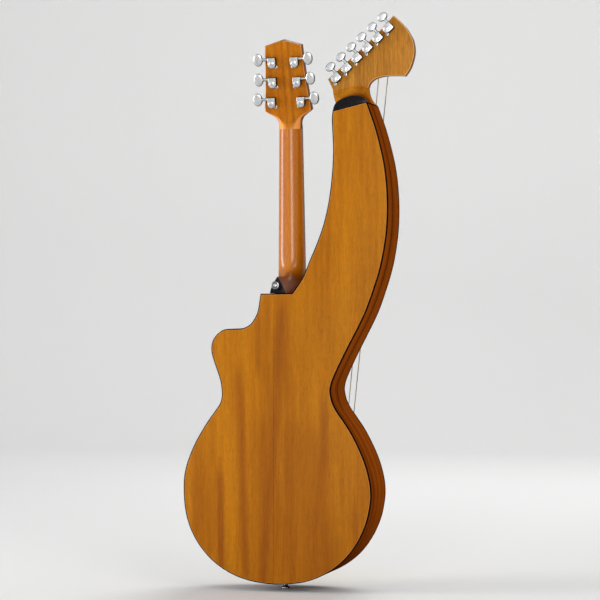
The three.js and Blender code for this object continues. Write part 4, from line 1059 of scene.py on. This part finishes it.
def head_half(row):
    """Half of the head's width at a height up it."""
    right = head_outline[head_outline[:, 0] >= -CLOSE]
    right = right[np.argsort(right[:, 1])]
    return float(np.interp(row, right[:, 1], right[:, 0]))


def head_rows():
    """Heights up the head for its sections: those of its outline's points, and a few more."""
    heights = {round(float(z), 2) for x, z in head_outline if x >= 0 and z > HEAD_START}
    rows = sorted([HEAD_START, *heights, *(max(heights) * share for share in HEAD_ROW_SHARES)])
    return [row for i, row in enumerate(rows) if i == 0 or row - rows[i - 1] > HEAD_ROW_GAP]


def add_neck():
    rings = heel_rings()
    for z in np.linspace(SHOULDER + HEEL_SWEEP, NUT - NECK_SHORT_OF_NUT, NECK_STEPS + 1)[1:]:
        rings.append([(x, FRONT + y, z) for x, y in round_section(half_width(z), neck_depth(z))])
    first_head_face = (len(rings) - 1) * len(ANGLES)
    depth = HEAD_THICKNESS - VENEER_THICKNESS
    for row in head_rows():
        half = max(head_half(row), HEAD_LEAST_HALF)
        round_back = round_section(half, mix(HEAD_ROUND_DEPTH, depth, ease(row / HEAD_DEPTH_BLEND)))
        flat_back = box_section(half, depth, min(HEAD_EDGE, half / 2))
        section = mix(round_back, flat_back, ease(row / HEAD_BLEND))
        rings.append([HEAD @ Vector((x, VENEER_THICKNESS + y, row)) for x, y in section])
    show("neck_shaft", loft(rings), "neck_mahogany", replaces=["neck"],
         second=("neck_head_mahogany", first_head_face))
    veneer = slab([head_outline], flat_at(0), flat_at(VENEER_THICKNESS), low_edge=VENEER_EDGE)
    show("head_face", veneer.moved(HEAD), "rosewood", replaces=["head_veneer"])
    cap = slab([smoothed(outline_of("heel_cap"), 6)], cap_seat, back, edge=CAP_EDGE, steps=4, low_edge=0)
    show("heel_cap_plate", cap, "gloss_black", replaces=["heel_cap"])


def board_face(x):
    """The fretboard's slightly rounded face."""
    return BOARD_FACE + BOARD_RADIUS - math.sqrt(BOARD_RADIUS**2 - x**2)


def fret_place(number):
    return NUT - SCALE_LENGTH * (1 - 2 ** (-number / OCTAVE_FRET_COUNT))


def fret(z):
    half = half_width(z) - FRET_SETBACK
    rings = []
    for x in (-half, *np.linspace(FRET_BEVEL - half, half - FRET_BEVEL, 15), half):
        whole = abs(x) < half
        size = (FRET_HEIGHT, FRET_HALF_WIDTH) if whole else (FRET_END_HEIGHT, FRET_END_HALF_WIDTH)
        base = board_face(x)
        crown = [(x, base + y, z + up) for y, up in arc((0, 0), 1, -QUARTER, -3 * QUARTER, 8) * size]
        rings.append([(x, base + FRET_ROOT, z - size[1]), *crown, (x, base + FRET_ROOT, z + size[1])])
    return loft(rings)


def add_fretboard():
    rings = []
    for z, eased in ((BOARD_LOW, BOARD_END_EDGE), (BOARD_LOW + BOARD_END_EDGE, 0), (NUT, 0)):
        half = half_width(z)
        face = [(x, board_face(x) + eased, z) for x in np.linspace(half, -half, 25)]
        rings.append([(half, FRETBOARD_BACK, z), *face, (-half, FRETBOARD_BACK, z)])
    show("fingerboard", loft(rings), "ebony", replaces=["fretboard"])
    for number in range(1, FRET_COUNT + 1):
        show(f"fret_{number}", fret(fret_place(number)), "nickel")
    side_dot = turned(SIDE_DOT_PROFILE, 16).moved(Matrix.Rotation(-QUARTER, 4, "Y"))
    for number, places in DOT_FRETS.items():
        z = (fret_place(number) + fret_place(number - 1)) / 2
        for i, place in enumerate(places):
            x = place * half_width(z)
            dot = slab([circle((x, z), DOT_RADIUS, 32)], flat_at(board_face(x) - INLAY_PROUD),
                       flat_at(BOARD_FACE + DOT_DEPTH))
            show(f"dot_{number}_{i + 1}", dot, "shell")
        where = Matrix.Translation((-half_width(z), (BOARD_FACE + FRETBOARD_BACK) / 2, z))
        show(f"side_dot_{number}", side_dot.moved(where), "shell")


def add_nut():
    low, high = NUT_LOW, NUT_HIGH
    profile = [(high.y, low.z), (high.y, high.z)]
    profile += [(low.y + y, high.z + z) for y, z in NUT_CREST]
    profile += [(low.y + y, low.z + z) for y, z in NUT_FOOT]
    show("nut_bone", bar(low.x, high.x, profile), "bone", replaces=["neck_nut"])


# Bridge

BRIDGE_LOW, BRIDGE_HIGH = span("bridge")
SADDLE_LOW, SADDLE_HIGH = span("saddle")
SADDLE_MIDDLE = (SADDLE_LOW.z + SADDLE_HIGH.z) / 2
BRIDGE_FACE = BRIDGE_LOW.y + PIN_DOT_PROFILE[-1][1]
TURN_TO_X = Matrix.Rotation(QUARTER, 4, "Y")  # a turned piece's axis along X
TURN_TO_BACK = Matrix.Rotation(-QUARTER, 4, "X")
TURN_TO_FACE = Matrix.Rotation(QUARTER, 4, "X")


def add_bridge():
    body = slab([smoothed(outline_of("bridge"), 3)], flat_at(BRIDGE_FACE), flat_at(BRIDGE_HIGH.y), steps=5,
                low_edge=BRIDGE_EDGE)
    show("bridge_body", body, "ebony", replaces=["bridge"])
    low, high = SADDLE_LOW, SADDLE_HIGH
    half = (high.z - low.z) / 2
    crown = arc((low.y + half, SADDLE_MIDDLE), half, -QUARTER, -3 * QUARTER, 8)
    show("saddle_bone", bar(low.x, high.x, [(high.y, low.z), *crown, (high.y, high.z)]), "bone",
         replaces=["saddle"])
    for i, (x, z) in enumerate(string_holes):
        where = Matrix.Translation((x, BRIDGE_FACE, z - PIN_BEHIND_HOLE)) @ TURN_TO_FACE
        show(f"bridge_pin_{i + 1}", turned(PIN_PROFILE).moved(where), "ebony")
        show(f"pin_dot_{i + 1}", turned(PIN_DOT_PROFILE, 20).moved(where), "shell")


# Arm head

HARP_FACE = face_loops("harp_head", FRONTWARDS)[0][:, 1].mean()


def arm_end():
    """The arm's end at the back: the inner corner, the way to the outer corner, the way up and the width."""
    inner, outer = sorted(longest_step(outline_of("harp_head_cap")), key=lambda end: -end[0])
    along = unit(outer - inner)
    return inner, along, np.array([along[1], -along[0]]), np.linalg.norm(outer - inner)


def heel_outline(share):
    """The arm heel's outline at a depth: 0 at the head's back, 1 at the arm's back."""
    start, along, up, width = arm_end()
    near = max(0.0, 1 - share / HARP_FILLET_SHARE)
    root = (1 - share) ** 2 + HARP_FILLET_REACH_SHARE * (1 - math.sqrt(1 - near**2))
    points = []
    for (lens_along, lens_up), (root_along, root_up) in zip(HEEL_LENS_SHARES, HEEL_ROOT_SHARES):
        side = mix(lens_along, root_along, min(root, 1)) * width
        rise = mix(lens_up * HARP_LENS, root_up * HARP_ROOT, root)
        points.append(start + along * side + up * rise)
    return smoothed(anticlockwise(points), 6)


def add_harp_head():
    outline = smoothed(outline_of("harp_head", FRONTWARDS))
    plate = slab([outline], flat_at(HARP_FACE), flat_at(HARP_FACE + HARP_THICKNESS), edge=HEAD_EDGE, steps=4)
    lowest = HARP_FACE + HARP_THICKNESS - HEAD_EDGE
    rings = []
    for step in range(HARP_HEEL_STEPS + 1):
        share = (step / HARP_HEEL_STEPS) ** HARP_HEEL_POWER
        rings.append([(x, mix(lowest, cap_seat(z), share), z) for x, z in heel_outline(share)])
    show("arm_head", merged(plate, loft(rings)), "head_mahogany", replaces=["harp_head"],
         second=("heel_mahogany", len(plate.faces)))
    lens = smoothed(outline_of("harp_head_cap"), 6)
    show("arm_head_cap", slab([lens], cap_seat, back, edge=CAP_EDGE, steps=4, low_edge=0), "gloss_black",
         replaces=["harp_head_cap"])
    start, along, up, width = arm_end()
    strip = anticlockwise([start + along * (width + a) + up * b for a, b in ARM_STRIP_CORNERS])
    show("arm_end_strip", slab([strip], shifted(front, BINDING_DEPTH), cap_seat), "binding")
    low, high = span("harp_nut")
    bone = slab([outline_of("harp_nut", FRONTWARDS)], flat_at(low.y), flat_at(high.y), steps=5,
                low_edge=ARM_NUT_EDGE)
    show("arm_nut", bone, "bone", replaces=["harp_nut"])


# Tuning machines, in a seat's own frame: X out to the button, Y to the head's back and Z to the worm


def seat(group, number):
    out, behind = joint_axis(f"{group}_button_{number}_turn"), joint_axis(f"{group}_post_{number}_turn")
    up = out.cross(behind)
    if up.z < 0:
        up = -up
    shaft = Vector(joints[f"{group}_button_{number}_turn"]["pos_m"]) / MM
    return placing(out, behind, up, shaft - behind * SHAFT_HEIGHT - up * WORM_OFFSET)


def case_outline():
    """The gear case from behind: round below, with two rounded corners at the worm."""
    inner, height = CASE_HALF - CASE_CORNER, CASE_TOP - CASE_CORNER
    return np.concatenate([
        arc((0, 0), CASE_HALF, math.pi, 2 * math.pi, 24),
        arc((inner, height), CASE_CORNER, 0, QUARTER, 6),
        arc((-inner, height), CASE_CORNER, QUARTER, math.pi, 6),
    ])


def capsule(start, end, radius):
    """A long round outline between two points."""
    start, end = np.array(start), np.array(end)
    heading = math.atan2(*(end - start)[::-1])
    return np.concatenate([
        arc(end, radius, heading - QUARTER, heading + QUARTER, 12),
        arc(start, radius, heading + QUARTER, heading + 3 * QUARTER, 12),
    ])


def housing():
    top = CASE_SEAT + CASE_HEIGHT
    case = slab([case_outline()], flat_at(CASE_SEAT), flat_at(top - CASE_DISH), edge=CASE_EDGE, steps=6,
                low_edge=CASE_FOOT_EDGE)
    gear_cap = turned(GEAR_CAP_PROFILE, 40, top).moved(TURN_TO_BACK)
    side = Matrix.Translation((CASE_HALF, SHAFT_HEIGHT, WORM_OFFSET))
    collar = turned(COLLAR_PROFILE, 28).moved(side @ TURN_TO_X)
    ear = slab([capsule(EAR_ROOT.xz, EAR_PLACE.xz, EAR_RADIUS)], flat_at(CASE_SEAT),
               flat_at(CASE_SEAT + EAR_THICKNESS), edge=EAR_EDGE, low_edge=0)
    return merged(case, gear_cap, collar, ear)


def screw():
    where = Matrix.Translation((EAR_PLACE.x, CASE_SEAT + EAR_THICKNESS, EAR_PLACE.z))
    return turned(SCREW_PROFILE, 24).moved(where @ TURN_TO_BACK)


def bush():
    """The washer and clamping nut on the head's face, with the bush's end round the post."""
    face = HEAD_THICKNESS + CASE_SEAT
    rings = ((WASHER_PROFILE, 40), (CLAMP_NUT_PROFILE, 6), (BUSH_PROFILE, 32))
    return merged(*(turned(profile, steps, face) for profile, steps in rings)).moved(TURN_TO_FACE)


def coil(radius):
    """The string's turns round the post's waist."""
    around = arc((0, 0), POST_WAIST + radius, 0, 2 * math.pi * POST_TURNS, TURN_STEPS * POST_TURNS)
    lifts = radius * POST_TURNS * np.linspace(1, -1, len(around))
    waist = HEAD_THICKNESS + POST_WAIST_AT
    return tube([(x, lift - waist, z) for (x, z), lift in zip(around, lifts)], radius, 8)


def button(group):
    """An oval button with its shaft."""
    reach, half_wide = BUTTON_REACH[group], BUTTON_HALF_WIDTH[group]
    oval = circle((0, 0), 1, BUTTON_SIDES) * (half_wide, BUTTON_HALF_LENGTH[group])
    rings = []
    for k in range(1, BUTTON_STEPS):
        t = -math.cos(math.pi * k / BUTTON_STEPS)
        wide = (1 - abs(t) ** BUTTON_POWER) ** (1 / BUTTON_POWER)
        rings.append([(x + reach, BUTTON_HALF_THICKNESS * t, z) for x, z in oval * wide])
    root = reach - half_wide
    stem = turned([(SHAFT_RADIUS, SHAFT_START - root), *STEM_PROFILE], 24, root)
    solid = merged(loft(rings), stem.moved(TURN_TO_X))
    solid.flat = set()
    return solid


def string_radius(group, i):
    return mix(*STRING_DIAMETERS[group], i / (STRING_COUNT - 1)) / 2


def string_look(group, i):
    return "plain_steel" if group == "neck" and i < PLAIN_COUNT else "bronze_wire"


def tuner_of(group, i):
    """The number of the tuner that string i goes to."""
    return STRING_COUNT // 2 - i if group == "neck" and i < STRING_COUNT // 2 else i + 1


def add_tuners():
    for group in ("neck", "harp"):
        for number in range(1, STRING_COUNT + 1):
            place = seat(group, number)
            tag = f"{group}_{number}"
            string = next(i for i in range(STRING_COUNT) if tuner_of(group, i) == number)
            post, key = f"{group}_post_{number}", f"{group}_button_{number}"
            show(f"gear_case_{tag}", housing().moved(place), "chrome",
                 replaces=[f"{group}_tuner_housing_{number}"])
            show(f"case_screw_{tag}", screw().moved(place), "nickel")
            show(f"post_nut_{tag}", bush().moved(place), "chrome")
            shank = turned(POST_PROFILE, 32, HEAD_THICKNESS).moved(TURN_TO_FACE)
            show(f"string_post_{tag}", shank.moved(place), "chrome", post, [f"{group}_tuner_post_{number}"])
            show(f"string_turns_{tag}", coil(string_radius(group, string)).moved(place),
                 string_look(group, string), post)
            shaft = place @ Matrix.Translation((0, SHAFT_HEIGHT, WORM_OFFSET))
            show(f"tuner_key_{tag}", button(group).moved(shaft), "chrome", key,
                 [f"{group}_tuner_button_{number}"])


# Strings


def string_grain(path):
    """A wire's material coordinates: the length along it, in Z."""
    lengths = np.cumsum([0.0] + [(b - a).length for a, b in zip(path, path[1:])])
    return np.repeat(lengths, STRING_SIDES)[:, None] * (0, 0, 1)


def arm_nut_crossing(x, end):
    """Where a bass string between the saddle and its post crosses the arm's nut."""
    bone = outline_of("harp_nut", FRONTWARDS)
    first, second = longest_step(bone)
    along = unit(second - first)
    across = np.array([-along[1], along[0]])
    start = np.array([end.x, end.z])
    down = unit(np.array([x, SADDLE_MIDDLE]) - start)
    distance = (bone.mean(axis=0) - start) @ across / (down @ across)
    return start + down * distance


def string_path(group, i):
    x, hole_z = string_holes[i if group == "neck" else STRING_COUNT + i]
    radius = string_radius(group, i)
    start = [Vector((x, BRIDGE_FACE + STRING_UNDER_FACE, hole_z)),
             Vector((x, BRIDGE_FACE - STRING_OVER_FACE, hole_z + STRING_CLEAR_OF_PIN)),
             Vector((x, SADDLE_LOW.y - radius, SADDLE_MIDDLE))]
    beside_post = Vector((-(POST_WAIST + radius), -HEAD_THICKNESS - POST_WAIST_AT, 0))
    end = seat(group, tuner_of(group, i)) @ beside_post
    if group == "neck":
        nut = Vector((((STRING_COUNT - 1) / 2 - i) * NUT_SPACING, NUT_LOW.y - radius, NUT_LOW.z + NUT_SLOT))
        return start + [nut, end]
    nut_x, nut_z = arm_nut_crossing(x, end)
    return start + [Vector((nut_x, span("harp_nut")[0].y - radius, nut_z)), end]


def add_strings():
    loops = [flattened(loop) for loop in face_loops("strings", FRONTWARDS)]
    low_y = FRONT + PLATE + ANCHOR_GAP
    outline = smoothed(max(loops, key=signed_area), 1)
    plate = slab([outline], flat_at(low_y), flat_at(low_y + ANCHOR_THICKNESS), edge=ANCHOR_EDGE)
    show("bridge_plate", plate, "rosewood", replaces=["strings"])
    for group in ("neck", "harp"):
        for i in range(STRING_COUNT):
            path = string_path(group, i)
            show(f"string_{group}_{i + 1}", tube(path, string_radius(group, i)), string_look(group, i),
                 grain=string_grain(path))


# Strap buttons


def heel_strap_place():
    """Where the heel button's axis meets the back, with Z turned along the axis."""
    outwards = Vector((0, 1, -BACK_SLOPE)).normalized()
    points = np.array([vert.co / MM for vert in nodes["heel_strap_button"].data.vertices])
    depth = points @ np.array(outwards)
    end = points[depth > depth.max() - CLOSE].mean(axis=0)
    height = end[2] - outwards.z * (FELT_THICKNESS + STRAP_LENGTH)
    turn = UP.rotation_difference(outwards).to_matrix().to_4x4()
    return Matrix.Translation((0, back(height), height)) @ turn


def add_strap_buttons():
    tail_height = span("tail_strap_button")[0].z + FELT_THICKNESS + STRAP_LENGTH
    tail = Matrix.Translation((0, 0, tail_height)) @ Matrix.Rotation(math.pi, 4, "X")
    lift = Matrix.Translation((0, 0, FELT_THICKNESS))
    # The heel pin's chrome is painted darker, as a painted dark reflection
    for name, where, look in (("tail", tail, "chrome"), ("heel", heel_strap_place(), "painted_dark_chrome")):
        pin = turned(STRAP_PROFILE, 48).moved(where @ lift)
        show(f"{name}_strap_pin", pin, look, replaces=[f"{name}_strap_button"])
        show(f"{name}_strap_screw", turned(STRAP_SCREW_PROFILE).moved(where @ lift), "nickel")
        show(f"{name}_strap_felt", turned(FELT_PROFILE, 40).moved(where), "felt")


# Stage, in metres: a pale floor that sweeps up into a backdrop, soft lamps and the camera

FLOOR_HALF = 9.0
FLOOR_NEAR = 6.0
WALL_AT = -4.8
WALL_RADIUS = 1.2
WALL_STEPS = 16
WALL_HEIGHT = 4.5
WALL_GLOW = 0.28  # how much paler the wall looks than its light makes it
GLOW_FROM_TO = (-0.8, -3.6)  # Y where that starts, and where it is full
PAPER_TONES = ((226, 226, 225), (232, 232, 231))
WORLD_TINT = (0.86, 0.87, 0.88, 1)
WORLD_LIGHT = 0.45
WORLD_SEEN = 0.9
LAMPS = (  # place and aim, width, height, power in watts
    ((-3.2, 3.4, 2.9), (0, 0, 0.6), 2.2, 2.2, 54),
    ((3.3, 1.1, 0.9), (0, 0, 0.7), 1.1, 2.6, 84),
    ((-0.2, 4.4, 1.0), (0, 0, 0.6), 0.9, 2.3, 46),
    ((2.9, 3.2, 1.4), (0, 0, 0.5), 2.0, 2.0, 10),
    ((-0.4, -2.0, 2.8), (0, 0, 0.6), 2.0, 2.0, 50),
)


def paper():
    """The backdrop's finish, a little paler on the wall for the rays that see it."""
    graph = new_material("studio_paper")
    vector = graph.node("ShaderNodeTexCoord").outputs["Object"]
    tooth = graph.noise(vector, (220, 220, 220))
    tint = graph.blend(tooth, *(colour(*tone) for tone in PAPER_TONES))
    depth = graph.node("ShaderNodeSeparateXYZ", {0: vector}).outputs[1]
    glow = graph.times(graph.times(graph.ramp(depth, *GLOW_FROM_TO), WALL_GLOW), graph.seen_rays())
    return graph.finish(Base_Color=tint, Roughness=0.9, Emission_Color=tint, Emission_Strength=glow)


def add_backdrop():
    middle = (WALL_AT + WALL_RADIUS, WALL_RADIUS)
    sweep_up = arc(middle, WALL_RADIUS, -QUARTER, -math.pi, WALL_STEPS)
    profile = [(FLOOR_NEAR, 0), *sweep_up, (WALL_AT, WALL_HEIGHT)]
    points = [(x, y, z) for y, z in profile for x in (-FLOOR_HALF, FLOOR_HALF)]
    faces = [(2 * i, 2 * i + 1, 2 * i + 3, 2 * i + 2) for i in range(len(profile) - 1)]
    mesh = bpy.data.meshes.new("studio_sweep")
    mesh.from_pydata(points, [], faces)
    mesh.polygons.foreach_set("use_smooth", [True] * len(faces))
    mesh.materials.append(paper())
    sweep = added("studio_sweep", mesh)


def add_lights():
    for i, (place, aim, width, height, power) in enumerate(LAMPS):
        light = bpy.data.lights.new(f"softbox_{i + 1}", "AREA")
        light.shape = "RECTANGLE"
        light.size = width
        light.size_y = height
        light.energy = power
        lamp = added(light.name, light)
        lamp.location = place
        lamp.rotation_euler = (Vector(aim) - Vector(place)).to_track_quat("-Z", "Y").to_euler()
    world = bpy.data.worlds.new("studio")
    graph = Graph(world)
    background = graph.tree.nodes["Background"].inputs
    strength = graph.math("MULTIPLY_ADD", graph.seen_rays(), WORLD_SEEN - WORLD_LIGHT, WORLD_LIGHT)
    graph.set(background["Color"], WORLD_TINT)
    graph.set(background["Strength"], strength)
    bpy.context.scene.world = world


def add_camera():
    lens = bpy.data.cameras.new("camera")
    lens.lens = CAMERA_LENS
    lens.sensor_width = SENSOR
    lens.clip_end = SIGHT_M
    eye = added("camera", lens)
    aim = CAMERA_LOOK.to_track_quat("-Z", "Y").to_matrix().to_4x4()
    eye.matrix_world = Matrix.Translation(CAMERA_PLACE) @ aim @ Matrix.Rotation(CAMERA_ROLL, 4, "Z")
    bpy.context.scene.camera = eye


add_camera()
add_backdrop()
add_lights()
add_plates()
add_bindings()
add_rims()
finish_inside()
add_neck()
add_fretboard()
add_nut()
add_bridge()
add_harp_head()
add_tuners()
add_strings()
add_strap_buttons()
bpy.context.scene.view_settings.view_transform = "Standard"
